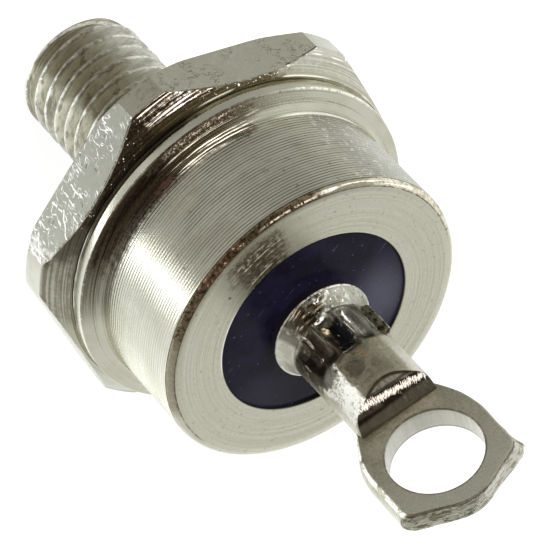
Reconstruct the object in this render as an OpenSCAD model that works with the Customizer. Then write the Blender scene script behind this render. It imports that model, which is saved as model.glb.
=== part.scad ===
// Stud-mounted power rectifier diode with a hexagon base, a glass-sealed case and an eyelet lug.
// Millimetres. Z runs along the stud's axis with the lug up; z = 0 is the seating face under the
// hexagon. The lug plate lies in the XZ plane and its front faces -Y.

/* [Stud] */
// Major diameter of the stud's thread (1/4-28)
stud_d = 6.2; // [4.8:0.05:8]
// Length of the stud below the seating face
stud_len = 11.25; // [8:0.05:16]
// Height of the chamfer at the stud's end
stud_chamfer = 0.45; // [0.2:0.05:1]
// Pitch of the thread (28 to the inch)
thread_pitch = 0.907; // [0.7:0.001:1.1]
// Plain neck between the seating face and the thread
neck_len = 1.05; // [0.4:0.05:2]

/* [Hexagon base] */
// Width of the hexagon across its flats
hex_af = 17.25; // [16.9:0.05:18.4]
// How far the corners are turned back from the full hexagon
corner_cut = 0.46; // [0.2:0.02:0.7]
// Turn of the hexagon about the axis, from a flat that faces +X
hex_turn = 8; // [0:1:59]
// Width of the chamfer between the corners and the flat seating face
seat_chamfer_w = 0.4; // [0.1:0.05:1]
// Height of that chamfer
seat_chamfer_h = 0.45; // [0.2:0.05:0.9]
// Height of the base from its seating face to the weld ring
base_h = 2.6; // [2.2:0.05:4.5]
// Height of the chamfer from the corners up to the weld ring
top_chamfer_h = 0.9; // [0.4:0.05:1.3]
// Shelf left on top of the base outside the case's flange
shelf_w = 0.08; // [0.02:0.01:0.2]
// Shelf left outside the lower disc on the raised seat for the die
pedestal_w = 0.5; // [0.1:0.05:0.8]
// Height of that raised seat
pedestal_h = 0.7; // [0.2:0.1:1]

/* [Weld ring] */
// How far the ring stands back from the edge of the case's flange
ring_inset = 0.17; // [0:0.01:0.5]
// Width of the ring from its bore to its edge
ring_w = 1.65; // [1:0.05:2]
// Height of the ring
ring_h = 0.35; // [0.2:0.05:0.8]

/* [Case] */
// How far the weld flange stands back from the hexagon's flats
flange_inset = 0.205; // [0:0.005:0.5]
// Width of the flange out from the barrel
flange_w = 0.95; // [0.7:0.05:1.3]
// Height of the flange's edge
flange_h = 0.48; // [0.3:0.02:0.9]
// Rise of the flange's top face to the foot of its fillet
flange_rise = 0.12; // [0.05:0.01:0.3]
// Radius of the fillet between flange and barrel
fillet_r = 0.45; // [0.2:0.05:0.6]
// Height of the case from the weld ring to its flat top
case_h = 6.33; // [5.8:0.01:9]
// Radius of the rim
rim_r = 0.32; // [0.1:0.02:0.6]
// Wall of the barrel
case_wall = 1.32; // [1:0.02:1.6]
// Thickness of the top around the window
top_t = 2.0; // [1.2:0.1:2.4]
// Diameter of the window that holds the glass
window_d = 9.5; // [8.5:0.1:10.6]

/* [Glass seal] */
// Depth of the glass below the case top at the window's edge
glass_dip = 0.08; // [0.02:0.01:0.3]
// Rise of the glass from the window to the sleeve
glass_rise = 0.14; // [0.05:0.01:0.3]

/* [Terminal sleeve] */
// Wall of the sleeve
sleeve_wall = 0.24; // [0.15:0.01:0.4]
// Length of the sleeve below the glass
sleeve_tail = 0.3; // [0.1:0.05:0.6]
// How far the collar stands out from the sleeve
collar_w = 0.2; // [0.1:0.02:0.6]
// Thickness of the collar
collar_t = 0.16; // [0.1:0.01:0.4]
// Height of the collar's upper face above the case top
collar_rise = 0.65; // [0.4:0.01:1.2]
// Height of the solder's slope above the collar
solder_rise = 0.44; // [0.2:0.02:0.6]

/* [Terminal tube] */
// Outer diameter of the tube
tube_d = 4.0; // [3.6:0.05:4.2]
// Wall of the tube
tube_wall = 0.625; // [0.4:0.025:0.8]
// Gap between the tube and the sleeve around it
tube_gap = 0.02; // [0.01:0.01:0.05]
// Height of the tube's closed end above the case top
tube_rise = 6.35; // [5.6:0.05:9]
// Thickness of the metal that closes the tube
tube_end_t = 0.4; // [0.2:0.05:0.6]
// Height above the solder at which the crimp starts
crimp_gap = 0.3; // [0.2:0.05:0.6]
// Length of the crimp
crimp_len = 2.2; // [1.5:0.1:2.4]
// Depth of the crimp's flutes
crimp_depth = 0.3; // [0.1:0.02:0.4]
// Radius of the crimping jaw's teeth
crimp_tooth_r = 0.6; // [0.4:0.02:0.8]
// Height of the fin that the jaws leave at their parting line
fin_h = 0.3; // [0.1:0.05:0.5]
// Thickness of that fin
fin_t = 0.26; // [0.15:0.01:0.4]
// Angle of the fin about the axis
fin_turn = 203; // [195:1:215]

/* [Lug plate] */
// Diameter of the eyelet
hole_d = 4.3; // [3.8:0.05:5]
// Height of the eyelet's lower edge above the tube's closed end
hole_foot = 0.8; // [0.5:0.05:1.5]
// Metal beside the eyelet, on each side
hole_side = 0.85; // [0.7:0.05:1.2]
// Metal between the eyelet and the plate's tip
hole_tip = 0.95; // [0.7:0.05:1.5]
// Height over which the plate widens from the tube's width
flare_len = 2.3; // [1.6:0.1:2.6]
// How far below the tube's closed end the plate starts to widen
flare_start = 0.15; // [0:0.05:0.5]
// Drop from the plate's tip to its sheared corners
corner_drop = 1.12; // [0.6:0.02:1.6]
// Radius of the plate's tip
tip_r = 2.35; // [1.6:0.05:2.8]
// Radius at the foot of the pressed step
step_r = 0.25; // [0.1:0.05:0.5]

/* [Die stack] */
// Thickness of each solder layer
solder_t = 0.1; // [0.05:0.01:0.15]
// Width of the lower disc outside the coating
lower_disc_w = 0.2; // [0.05:0.05:0.5]
// Thickness of the lower disc
lower_disc_t = 0.6; // [0.3:0.05:0.8]
// Diameter of the die
die_d = 6.8; // [6:0.1:7.2]
// Thickness of the die
die_t = 0.3; // [0.2:0.02:0.4]
// How far the upper disc stands back from the die's edge
upper_disc_inset = 0.7; // [0.4:0.05:1]
// Thickness of the upper disc
upper_disc_t = 0.5; // [0.3:0.05:0.7]
// Width of the coating around the die's edge
coating_w = 0.6; // [0.3:0.05:0.8]
// Height that the coating laps over the die
coating_lap = 0.15; // [0.05:0.01:0.2]

/* [Inner lead] */
// Gap between the flexible lead and the bore of the tube
lead_gap = 0.075; // [0.025:0.025:0.2]
// Diameter of the lead where the crimp grips it
lead_crimp_d = 2.0; // [1.6:0.05:2.1]
// Wall of the contact cup
cup_wall = 0.4; // [0.25:0.05:0.6]
// Floor of the contact cup
cup_floor = 0.3; // [0.2:0.05:0.5]
// Height of the contact cup
cup_h = 1.1; // [0.8:0.1:1.3]

/* [Hidden] */
$fn = 96;
// How far cutting shapes run past what they cut
cut = 1;

// Unified thread: 60 degree flanks, crests an eighth of the pitch wide and roots a quarter
stud_r = stud_d / 2;
thread_flank = thread_pitch * 5 / 16;
thread_root_w = thread_pitch / 4;
thread_root_r = stud_r - thread_flank / tan(30);
thread_count = floor((stud_len - neck_len) / thread_pitch);

// Radii of the base, ring and case, from the hexagon inwards
hex_r = hex_af / 2 / cos(30);
corner_r = hex_r - corner_cut;
seat_r = corner_r - seat_chamfer_w;
flange_r = hex_af / 2 - flange_inset;
base_top_r = flange_r + shelf_w;
ring_r = flange_r - ring_inset;
ring_bore_r = ring_r - ring_w;
case_r = flange_r - flange_w;
flange_foot_r = case_r + fillet_r;
cavity_r = case_r - case_wall;
window_r = window_d / 2;

// Radii of the terminal, from the tube outwards and inwards
tube_r = tube_d / 2;
sleeve_bore_r = tube_r + tube_gap;
sleeve_r = sleeve_bore_r + sleeve_wall;
collar_r = sleeve_r + collar_w;
tube_bore_r = tube_r - tube_wall;
lead_r = tube_bore_r - lead_gap;
lead_crimp_r = lead_crimp_d / 2;

// Radii of the die stack, from the die outwards and inwards
die_r = die_d / 2;
coating_r = die_r + coating_w;
lower_disc_r = coating_r + lower_disc_w;
pedestal_r = lower_disc_r + pedestal_w;
upper_disc_r = die_r - upper_disc_inset;
cup_r = lead_r + cup_wall;

// Heights along the axis, from the seating face up
corner_h = base_h - top_chamfer_h;
ring_z = base_h;
case_z = ring_z + ring_h;
flange_top = case_z + flange_h;
case_top = case_z + case_h;
cavity_top = case_top - top_t;
sleeve_z = cavity_top - sleeve_tail;
collar_top = case_top + collar_rise;
solder_top = collar_top + solder_rise;
crimp_z = solder_top + crimp_gap;
crimp_top = crimp_z + crimp_len;
tube_top = case_top + tube_rise;

// Heights of the die stack
pedestal_top = base_h + pedestal_h;
lower_disc_z = pedestal_top + solder_t;
lower_die_z = lower_disc_z + lower_disc_t;
die_z = lower_die_z + solder_t;
die_top = die_z + die_t;
upper_disc_z = die_top + solder_t;
upper_solder_z = upper_disc_z + upper_disc_t;
cup_z = upper_solder_z + solder_t;
lead_z = cup_z + cup_floor;

// The pressed plate is two walls thick, and its front face lies on the tube's axis
plate_t = 2 * tube_wall;
hole_r = hole_d / 2;
plate_half = hole_r + hole_side;
// Heights on the plate, above the tube's closed end
hole_rise = hole_foot + hole_r;
plate_len = hole_rise + hole_r + hole_tip;
// Height at which the plate's sides become straight
flare_top = flare_len - flare_start;
// Radius of the arc that leads from the tube's width to the plate's
flare_w = plate_half - tube_r;
flare_r = (flare_w * flare_w + flare_len * flare_len) / (2 * flare_w);

// Ring between two radii
module ring(r_out, r_in, z, h) {
    translate([0, 0, z]) difference() {
        cylinder(r = r_out, h = h);
        translate([0, 0, -cut]) cylinder(r = r_in, h = h + 2 * cut);
    }
}

// Flat round layer of the die stack
module layer(r, z, h) {
    translate([0, 0, z]) cylinder(r = r, h = h);
}

// Turned outline of the hexagon: seating chamfer below, long chamfer above
module base_turning() {
    rotate_extrude() polygon([
        [0, 0],
        [seat_r, 0],
        [corner_r, seat_chamfer_h],
        [corner_r, corner_h],
        [base_top_r, base_h],
        [0, base_h]
    ]);
}

module hexagon() {
    rotate([0, 0, hex_turn + 30]) cylinder(r = hex_r, h = base_h, $fn = 6);
}

// Half section of one groove, from its upper edge down
module thread_groove() {
    root_z = -thread_flank - thread_root_w;
    // The flanks run on past the crests by this much
    over = thread_flank / 2;
    over_r = stud_r + over / tan(30);
    polygon([
        [thread_root_r, -thread_flank],
        [over_r, over],
        [over_r, root_z - thread_flank - over],
        [thread_root_r, root_z]
    ]);
}

// Stud with its thread as rings at the thread's pitch
module stud() {
    rotate_extrude() difference() {
        polygon([
            [0, 0],
            [0, -stud_len],
            [stud_r - stud_chamfer, -stud_len],
            [stud_r, stud_chamfer - stud_len],
            [stud_r, 0]
        ]);
        for (i = [0 : thread_count - 1])
            translate([0, -neck_len - i * thread_pitch]) thread_groove();
    }
}

module stud_base() {
    color("#b9b9ac") {
        union() {
            intersection() {
                base_turning();
                hexagon();
            }
            stud();
            layer(pedestal_r, base_h, pedestal_h);
        }
    }
}

module weld_ring() {
    color("#8f8c7c") ring(ring_r, ring_bore_r, ring_z, ring_h);
}

// Half section of the case, from the flange up over the rim to the window
module case_section() {
    difference() {
        union() {
            translate([0, case_z]) square([flange_r, flange_h]);
            polygon([
                [0, flange_top],
                [flange_r, flange_top],
                [flange_foot_r, flange_top + flange_rise],
                [0, flange_top + flange_rise]
            ]);
            translate([0, flange_top]) square([flange_foot_r, flange_rise + fillet_r]);
            translate([0, flange_top]) square([case_r, case_top - rim_r - flange_top]);
            translate([0, case_top - rim_r]) square([case_r - rim_r, rim_r]);
            translate([case_r - rim_r, case_top - rim_r]) circle(r = rim_r);
        }
        translate([flange_foot_r, flange_top + flange_rise + fillet_r]) circle(r = fillet_r);
        translate([-cut, case_z - cut]) square([cavity_r + cut, cavity_top - case_z + cut]);
        translate([-cut, case_z]) square([window_r + cut, case_h + cut]);
    }
}

module cap_shell() {
    color("#c4c4b6") rotate_extrude() case_section();
}

// Glass, with its upper face rising a little from the window to the sleeve
module glass_seal() {
    color("#24203a") rotate_extrude() polygon([
        [sleeve_r, cavity_top],
        [window_r, cavity_top],
        [window_r, case_top - glass_dip],
        [sleeve_r, case_top - glass_dip + glass_rise]
    ]);
}

module terminal_sleeve() {
    color("#c9c9bd") {
        union() {
            ring(sleeve_r, sleeve_bore_r, sleeve_z, collar_top - sleeve_z);
            ring(collar_r, sleeve_bore_r, collar_top - collar_t, collar_t);
        }
    }
}

// Slope of solder from the collar's edge up to the tube
module terminal_solder() {
    color("#c2c1b4") rotate_extrude() polygon([
        [tube_r, collar_top],
        [collar_r, collar_top],
        [tube_r, solder_top]
    ]);
}

// Flute pressed by one tooth of the crimping jaws, with sloped ends
module crimp_flute(turn) {
    run_out = crimp_depth;
    // Small enough to start clear of the tube
    tooth_foot = crimp_tooth_r - crimp_depth - tube_gap;
    rotate([0, 0, turn]) translate([tube_r - crimp_depth + crimp_tooth_r, 0, 0]) {
        translate([0, 0, crimp_z + run_out])
            cylinder(r = crimp_tooth_r, h = crimp_len - 2 * run_out, $fn = 48);
        translate([0, 0, crimp_z])
            cylinder(r1 = tooth_foot, r2 = crimp_tooth_r, h = run_out, $fn = 48);
        translate([0, 0, crimp_top - run_out])
            cylinder(r1 = crimp_tooth_r, r2 = tooth_foot, h = run_out, $fn = 48);
    }
}

// Two jaws press the same flutes from both sides of the parting line
module crimp_flutes() {
    for (jaw = [0, 180])
        for (tooth = [33, 69, 99, 128])
            crimp_flute(fin_turn + jaw + tooth);
}

// Fin of metal squeezed out between the jaws
module crimp_fin() {
    rotate([0, 0, fin_turn]) translate([tube_r - tube_wall / 2, -fin_t / 2, crimp_z])
        cube([tube_wall / 2 + fin_h, fin_t, crimp_len - crimp_gap]);
}

// Bore of the tube: wide below, narrow where the crimp grips the lead, closed by a cone
module tube_bore() {
    cone_z = tube_top - tube_end_t - tube_bore_r;
    translate([0, 0, sleeve_z - cut]) cylinder(r = tube_bore_r, h = crimp_z - sleeve_z + cut);
    translate([0, 0, crimp_z - cut]) cylinder(r = lead_crimp_r, h = crimp_len + 2 * cut);
    translate([0, 0, crimp_top]) cylinder(r = tube_bore_r, h = cone_z - crimp_top);
    translate([0, 0, cone_z]) cylinder(r1 = tube_bore_r, r2 = 0, h = tube_bore_r);
}

// What the flare leaves away beside the tube, on one side of the plate
module flare_corner() {
    difference() {
        translate([plate_half - flare_r, -tube_r - cut]) square([flare_r + cut, flare_top + tube_r + cut]);
        translate([plate_half - flare_r, flare_top]) circle(r = flare_r);
    }
}

// Front view of the plate: flare from the tube, straight sides, sheared corners and rounded tip
module plate_front() {
    corner_z = plate_len - corner_drop;
    tip_z = plate_len - tip_r;
    // Where the sheared edges run into the round tip
    reach = norm([plate_half, corner_z - tip_z]);
    tip_turn = atan2(corner_z - tip_z, plate_half) + acos(tip_r / reach);
    shear = [tip_r * cos(tip_turn), tip_z + tip_r * sin(tip_turn)];
    difference() {
        polygon([
            [-plate_half, -tube_wall],
            [plate_half, -tube_wall],
            [plate_half, corner_z],
            shear,
            [-shear[0], shear[1]],
            [-plate_half, corner_z]
        ]);
        flare_corner();
        mirror([1, 0]) flare_corner();
    }
    translate([0, tip_z]) circle(r = tip_r);
}

// Side view of the pressed step, with its front to the left: round foot on the plate's front face
module step_side() {
    difference() {
        translate([-tube_r, -cut]) square([tube_d, cut + step_r]);
        translate([-tube_r - cut, 0]) square([tube_r + cut - step_r, step_r + cut]);
        translate([-step_r, step_r]) circle(r = step_r);
        translate([plate_t, 0]) square([tube_r, step_r + cut]);
    }
}

module lug_plate() {
    translate([0, plate_t, tube_top]) rotate([90, 0, 0]) linear_extrude(plate_t) plate_front();
}

module lug_step() {
    intersection() {
        translate([-tube_r, 0, tube_top]) rotate([90, 0, 90]) linear_extrude(tube_d) step_side();
        translate([0, 0, tube_top - cut]) cylinder(r = tube_r, h = cut + step_r);
    }
}

module eyelet() {
    translate([0, plate_t + cut, tube_top + hole_rise]) rotate([90, 0, 0])
        cylinder(r = hole_r, h = plate_t + 2 * cut);
}

module terminal_lug() {
    color("#b5b4a6") {
        difference() {
            union() {
                translate([0, 0, sleeve_z]) cylinder(r = tube_r, h = tube_top - sleeve_z);
                lug_step();
                lug_plate();
                crimp_fin();
            }
            tube_bore();
            crimp_flutes();
            eyelet();
        }
    }
}

module base_solder() {
    color("#a8a8a4") layer(lower_disc_r, pedestal_top, solder_t);
}

module lower_disc() {
    color("#8d9096") layer(lower_disc_r, lower_disc_z, lower_disc_t);
}

module lower_die_solder() {
    color("#a8a8a4") layer(die_r, lower_die_z, solder_t);
}

module silicon_die() {
    color("#4a4f5c") layer(die_r, die_z, die_t);
}

// Silicone bead from the lower disc up over the edge of the die
module junction_coating() {
    color("#d8d2c4") rotate_extrude() polygon([
        [die_r, lower_die_z],
        [coating_r, lower_die_z],
        [coating_r, die_z],
        [die_r + coating_w / 2, die_top + coating_lap],
        [upper_disc_r, die_top + coating_lap],
        [upper_disc_r, die_top],
        [die_r, die_top]
    ]);
}

module upper_die_solder() {
    color("#a8a8a4") layer(upper_disc_r, die_top, solder_t);
}

module upper_disc() {
    color("#8d9096") layer(upper_disc_r, upper_disc_z, upper_disc_t);
}

module upper_solder() {
    color("#a8a8a4") layer(cup_r, upper_solder_z, solder_t);
}

module contact_cup() {
    color("#b87a55") difference() {
        layer(cup_r, cup_z, cup_h);
        layer(lead_r, lead_z, cup_h);
    }
}

module inner_lead() {
    color("#b06a45") {
        union() {
            layer(lead_r, lead_z, crimp_z - lead_z);
            layer(lead_crimp_r, crimp_z, crimp_len);
        }
    }
}

stud_base();
weld_ring();
cap_shell();
glass_seal();
terminal_sleeve();
terminal_solder();
terminal_lug();
base_solder();
lower_disc();
lower_die_solder();
silicon_die();
junction_coating();
upper_die_solder();
upper_disc();
upper_solder();
contact_cup();
inner_lead();
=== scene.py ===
"""Looks of a stud-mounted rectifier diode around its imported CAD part. Lengths in the shape functions are
millimetres in the row frame: z = 0 is the seating face, +Z runs up the axis to the lug, which faces -Y."""

import math

import bpy
import numpy as np
from mathutils import Matrix, Vector

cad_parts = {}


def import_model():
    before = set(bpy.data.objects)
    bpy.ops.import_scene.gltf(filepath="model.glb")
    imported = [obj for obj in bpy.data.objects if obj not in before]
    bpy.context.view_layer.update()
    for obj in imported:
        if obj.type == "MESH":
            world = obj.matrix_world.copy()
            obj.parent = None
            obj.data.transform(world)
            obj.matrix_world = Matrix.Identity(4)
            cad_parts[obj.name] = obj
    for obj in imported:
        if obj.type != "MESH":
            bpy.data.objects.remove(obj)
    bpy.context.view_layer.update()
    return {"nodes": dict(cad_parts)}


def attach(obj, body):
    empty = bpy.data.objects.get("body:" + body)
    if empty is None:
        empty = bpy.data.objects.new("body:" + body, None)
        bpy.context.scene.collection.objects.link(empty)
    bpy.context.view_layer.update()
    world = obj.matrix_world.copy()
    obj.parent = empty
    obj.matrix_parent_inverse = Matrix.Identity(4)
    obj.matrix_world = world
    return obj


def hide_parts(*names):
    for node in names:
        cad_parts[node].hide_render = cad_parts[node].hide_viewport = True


MM = 0.001

# Photograph's viewpoint, solved from the turned circles and the hexagon
CAMERA_PLACE = (33.09, -124.95, 106.70)
CAMERA_TARGET = (-0.861, 2.712, 3.644)
CAMERA_ROLL = 136.98
CAMERA_SENSOR = 36.0
CAMERA_LENS = 242.18

# Stud and its 1/4-28 thread
STUD_R = 3.1
STUD_LEN = 11.25
STUD_CHAMFER = 0.45
THREAD_PITCH = 0.907
THREAD_DEPTH = 0.49
THREAD_PHASE_Z = -7.118
THREAD_ROWS = 22
NECK_LEN = 1.05

# Hexagon
HEX_HALF = 8.625
HEX_TURN = 8.0
CORNER_R = 9.49
FLAT_REACH = math.degrees(math.acos(HEX_HALF / CORNER_R))
SEAT_R = 9.1
SEAT_CHAMFER_H = 0.45
SEAT_SHRINK = 0.12
SEAT_LEAN = 0.28
SEAT_LEAN_AZIMUTH = 25.0
WALL_ROWS = 14
CORNER_H = 1.7
BASE_TOP_R = 8.5
BASE_H = 2.6
PEDESTAL_R = 4.7
PEDESTAL_TOP = 3.3
FLAT_COLUMNS = 48
BAND_COLUMNS = 10

# Long scratches across one flat: azimuth and height of both ends
SCRATCHES = (
    ((327.5, 0.45), (333.1, 1.58)),
    ((330.8, 0.70), (330.5, 1.77)),
    ((332.0, 0.60), (332.6, 1.50)),
    ((317.4, 1.05), (323.1, 2.18)),
    ((318.2, 0.23), (318.2, 1.00)),
    ((316.3, 1.75), (316.9, 2.45)),
    ((313.5, 0.50), (313.7, 1.40)),
    ((310.2, 0.62), (310.4, 1.55)),
    ((325.0, 0.19), (325.2, 0.67)),
)

# Weld ring and case
RING_R = 8.25
RING_BORE_R = 6.6
CASE_Z = 2.95
FLANGE_R = 8.42
FLANGE_H = 0.48
FLANGE_RISE = 0.12
FILLET_R = 0.45
CASE_R = 7.47
CASE_TOP = 9.28
RIM_R = 0.32
CAVITY_R = 6.15
CAVITY_TOP = 7.28
WINDOW_R = 4.75
GROOVE_PITCH = 0.164
GROOVE_DEPTH = 0.016
CHAMFER_GROOVE = 0.1
BARREL_FOOT = CASE_Z + FLANGE_H + FLANGE_RISE + FILLET_R
BARREL_TOP = CASE_TOP - RIM_R
GROOVES = int((BARREL_TOP - BARREL_FOOT) / GROOVE_PITCH)
GROOVE_STEP = (BARREL_TOP - BARREL_FOOT - 0.04) / GROOVES

# Terminal
SLEEVE_Z = 6.98
SLEEVE_BORE_R = 2.02
SLEEVE_R = 2.26
COLLAR_R = 2.46
COLLAR_TOP = 9.93
COLLAR_T = 0.16
SOLDER_TOP = 10.70
TUBE_R = 2.0
TUBE_BORE_R = 1.375
CRIMP_BORE_R = 1.0
CRIMP_Z = 10.67
CRIMP_TOP = 12.87
TUBE_TOP = 15.63
TUBE_END_T = 0.4
# Flutes of one jaw: azimuth, half width in degrees, depth, and the heights between which it is pressed
CRIMP_FLUTES = (
    (250, 7, 0.22, 10.85, 13.00),
    (278, 9, 0.36, 10.70, 13.10),
    (305, 6, 0.30, 10.62, 12.95),
    (327, 6, 0.28, 10.80, 12.80),
)
# Stains in the crimp: azimuth, height, half width in degrees, half height, share and colour
CRIMP_PATCHES = (
    (308, 11.70, 11, 0.95, 0.8, (0.16, 0.12, 0.085)),
    (334, 12.20, 17, 0.95, 0.9, (0.075, 0.06, 0.045)),
    (321, 13.10, 17, 0.50, 0.85, (0.08, 0.07, 0.05)),
    (286, 12.20, 4, 0.85, 0.7, (0.16, 0.115, 0.075)),
    (272, 12.00, 13, 1.05, 0.7, (0.06, 0.05, 0.04)),
    (270, 12.10, 11, 0.85, 0.92, (0.018, 0.018, 0.025)),
    (293, 13.00, 9, 0.30, 0.6, (0.13, 0.11, 0.075)),
    (268, 13.58, 6, 0.26, 0.6, (0.66, 0.47, 0.26)),
    (287, 14.00, 11, 0.52, 0.5, (0.12, 0.11, 0.075)),
    (262, 14.40, 7, 0.30, 0.3, (0.14, 0.12, 0.08)),
    (283, 11.38, 5, 0.34, 0.9, (0.56, 0.45, 0.27)),
)
# Rubbed edges in the crimp, with painted highlights: azimuth, height, half width in degrees and half height
DULL_EDGES = (
    (294, 11.50, 1.2, 0.60),
    (311, 11.10, 1.3, 0.50),
    (337, 11.80, 1.3, 0.25),
    (276, 12.98, 11, 0.04),
)
BRIGHT_EDGES = (
    (246, 11.30, 2.2, 0.40),
    (253, 11.90, 1.2, 0.50),
    (222, 12.00, 1.0, 0.70),
    (279, 10.78, 10, 0.05),
)

# Lug plate
PLATE_T = 1.25
PLATE_HALF = 2.9
HOLE_Z = 18.58
HOLE_R = 2.15
CORNER_Z = 20.56
TIP_R = 2.35
TIP_TOP = 21.675
PLATE_CORNER_R = 0.38
PLATE_FRONT_R = 0.15
PLATE_BACK_R = 0.32

# Columns around the turned pieces
FINE_COLUMNS = 288
COLUMNS = 192

# Studio, in the row frame: where the photographer stood, and the sideways and upward directions there
FRONT = (0.203, -0.762, 0.615)
SIDE = (-0.814, 0.218, 0.538)
UPWARD = (-0.544, -0.610, -0.576)
# Window: compass directions in degrees between which it stands, and how much brighter than the room it is
WINDOW_FROM = -26.0
WINDOW_TO = -11.0
WINDOW_LEVEL = 2.4
# Even light that the room sheds on rough surfaces
SOFT_LEVEL = 0.75
FLOOR_HALF = 600.0
FLOOR_GLOW = 0.78


# Meshes


def linked(name, data):
    """Object in the scene for a mesh, camera or lamp."""
    made = bpy.data.objects.new(name, data)
    bpy.context.scene.collection.objects.link(made)
    return made


def shade(mesh, sharp):
    """Smooth shading, with creases sharper than an angle in degrees kept; 0 keeps none."""
    mesh.shade_smooth()
    if sharp:
        mesh.set_sharp_from_angle(angle=math.radians(sharp))


def new_piece(name, verts, faces, material, sharp):
    """Mesh object from points in millimetres."""
    mesh = bpy.data.meshes.new(name)
    mesh.from_pydata((np.asarray(verts, float) * MM).tolist(), [], faces)
    mesh.validate()
    shade(mesh, sharp)
    if material is not None:
        mesh.materials.append(material)
    return linked(name, mesh)


def grid_faces(rows, columns, wrap_rows=False, offset=0):
    """Quads of a grid whose columns close on themselves, as in a revolved surface."""
    faces = []
    for i in range(rows if wrap_rows else rows - 1):
        a = offset + i * columns
        b = offset + ((i + 1) % rows) * columns
        for j in range(columns):
            k = (j + 1) % columns
            faces.append((a + j, a + k, b + k, b + j))
    return faces


def flipped(faces):
    """The same faces, turned to look the other way."""
    return [tuple(reversed(face)) for face in faces]


def fan(centre, ring, columns):
    """Triangles from a pole to a ring, looking up the axis."""
    return [(centre, ring + j, ring + (j + 1) % columns) for j in range(columns)]


def turn(columns):
    """Angles of the columns of a full turn."""
    return np.arange(columns) * 2 * math.pi / columns


def ring_at(radius, angles, z):
    """Points around the axis; the radius and the height are one number, or one for each angle."""
    return np.stack([radius * np.cos(angles), radius * np.sin(angles), z + 0 * angles], 1)


def stack_rows(rows, angles):
    """Points of rows of (radius, height), turned through the angles."""
    return np.concatenate([ring_at(radius, angles, z) for radius, z in rows])


def arc(cx, cz, r, a0, a1, steps):
    """Points on an arc in the profile plane, angles in degrees."""
    t = np.radians(np.linspace(a0, a1, steps + 1))
    return [(cx + r * math.cos(a), cz + r * math.sin(a)) for a in t]


def revolved(name, profile, columns, material, sharp, change=None):
    """Closed ring turned from a closed profile; change may move its points."""
    verts = stack_rows(profile, turn(columns))
    if change is not None:
        verts = change(verts)
    return new_piece(name, verts, grid_faces(len(profile), columns, wrap_rows=True), material, sharp)


def off_axis(points):
    """Distance of each point from the axis."""
    return np.hypot(points[:, 0], points[:, 1])


def pulled(points, pull):
    """Points moved away from the axis by a pull in millimetres."""
    out = points.copy()
    out[:, :2] *= (1 + pull / off_axis(points))[:, None]
    return out


def smooth_noise(seed, count, low, high):
    """A smooth, repeatable field made of a few waves, within about -1 and 1."""
    rng = np.random.default_rng(seed)
    waves = rng.normal(size=(count, 3))
    waves /= np.linalg.norm(waves, axis=1)[:, None]
    waves *= rng.uniform(low, high, count)[:, None]
    phase = rng.uniform(0, 2 * math.pi, count)
    weight = rng.uniform(0.5, 1.0, count)
    weight /= weight.sum()
    return lambda points: (np.sin(points @ waves.T + phase) * weight).sum(1) * 1.8


def smoothstep(low, high, value):
    """0 up to one limit, 1 from the other on, smooth between them."""
    t = np.clip((np.asarray(value, float) - low) / (high - low), 0, 1)
    return t * t * (3 - 2 * t)


def turn_between(azimuth, centre, half, soft):
    """1 within half degrees of the centre, falling to 0 over soft degrees."""
    away = np.abs((azimuth - centre + 180) % 360 - 180)
    return 1 - smoothstep(half, half + soft, away)


# Shapes


def hexagon_columns():
    """Azimuths of the base's columns, in radians, with one on every edge between flat and corner."""
    angles = []
    for k in range(6):
        middle = HEX_TURN + 60 * k
        angles += [middle - FLAT_REACH + 2 * FLAT_REACH * i / FLAT_COLUMNS for i in range(FLAT_COLUMNS)]
        band = 60 - 2 * FLAT_REACH
        angles += [middle + FLAT_REACH + band * i / BAND_COLUMNS for i in range(BAND_COLUMNS)]
    return np.radians(angles)


def wall_radius(angles):
    """Radius of the hexagon's wall: the flat, or the turned corner."""
    offset = (np.degrees(angles) - HEX_TURN + 30) % 60 - 30
    return np.minimum(HEX_HALF / np.cos(np.radians(offset)), CORNER_R)


def chamfer_height(radius):
    """Height of the long chamfer's cone at a radius."""
    return CORNER_H + (CORNER_R - radius) * (BASE_H - CORNER_H) / (CORNER_R - BASE_TOP_R)


def chamfer_rows(wall, angles):
    """Turned grooves across the long chamfer, at fixed radii, which close up where the flats cut it."""
    rng = np.random.default_rng(23)
    quarter = CHAMFER_GROOVE / 4
    direction = ring_at(1.0, angles, 0.0)
    fade = 0.35 + 0.65 * smoothstep(-0.4, 0.5, smooth_noise(24, 8, 0.5, 1.6)(direction * 9))
    rows = []
    for k in range(int((CORNER_R - 0.05 - BASE_TOP_R) / quarter) + 1):
        radius = np.minimum(CORNER_R - 0.05 - k * quarter, wall - 0.05 - k * 0.0004)
        if k % 4 == 0:
            depth = 0.022 * rng.uniform(0.4, 1.3)
        cut = depth * (0.0, 0.6, 1.0, 0.45)[k % 4] * fade
        free = smoothstep(0.0, 0.06, wall - 0.05 - radius) * smoothstep(BASE_TOP_R, BASE_TOP_R + 0.06, radius)
        rows.append((radius, chamfer_height(radius) - cut * free))
    return rows


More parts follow.
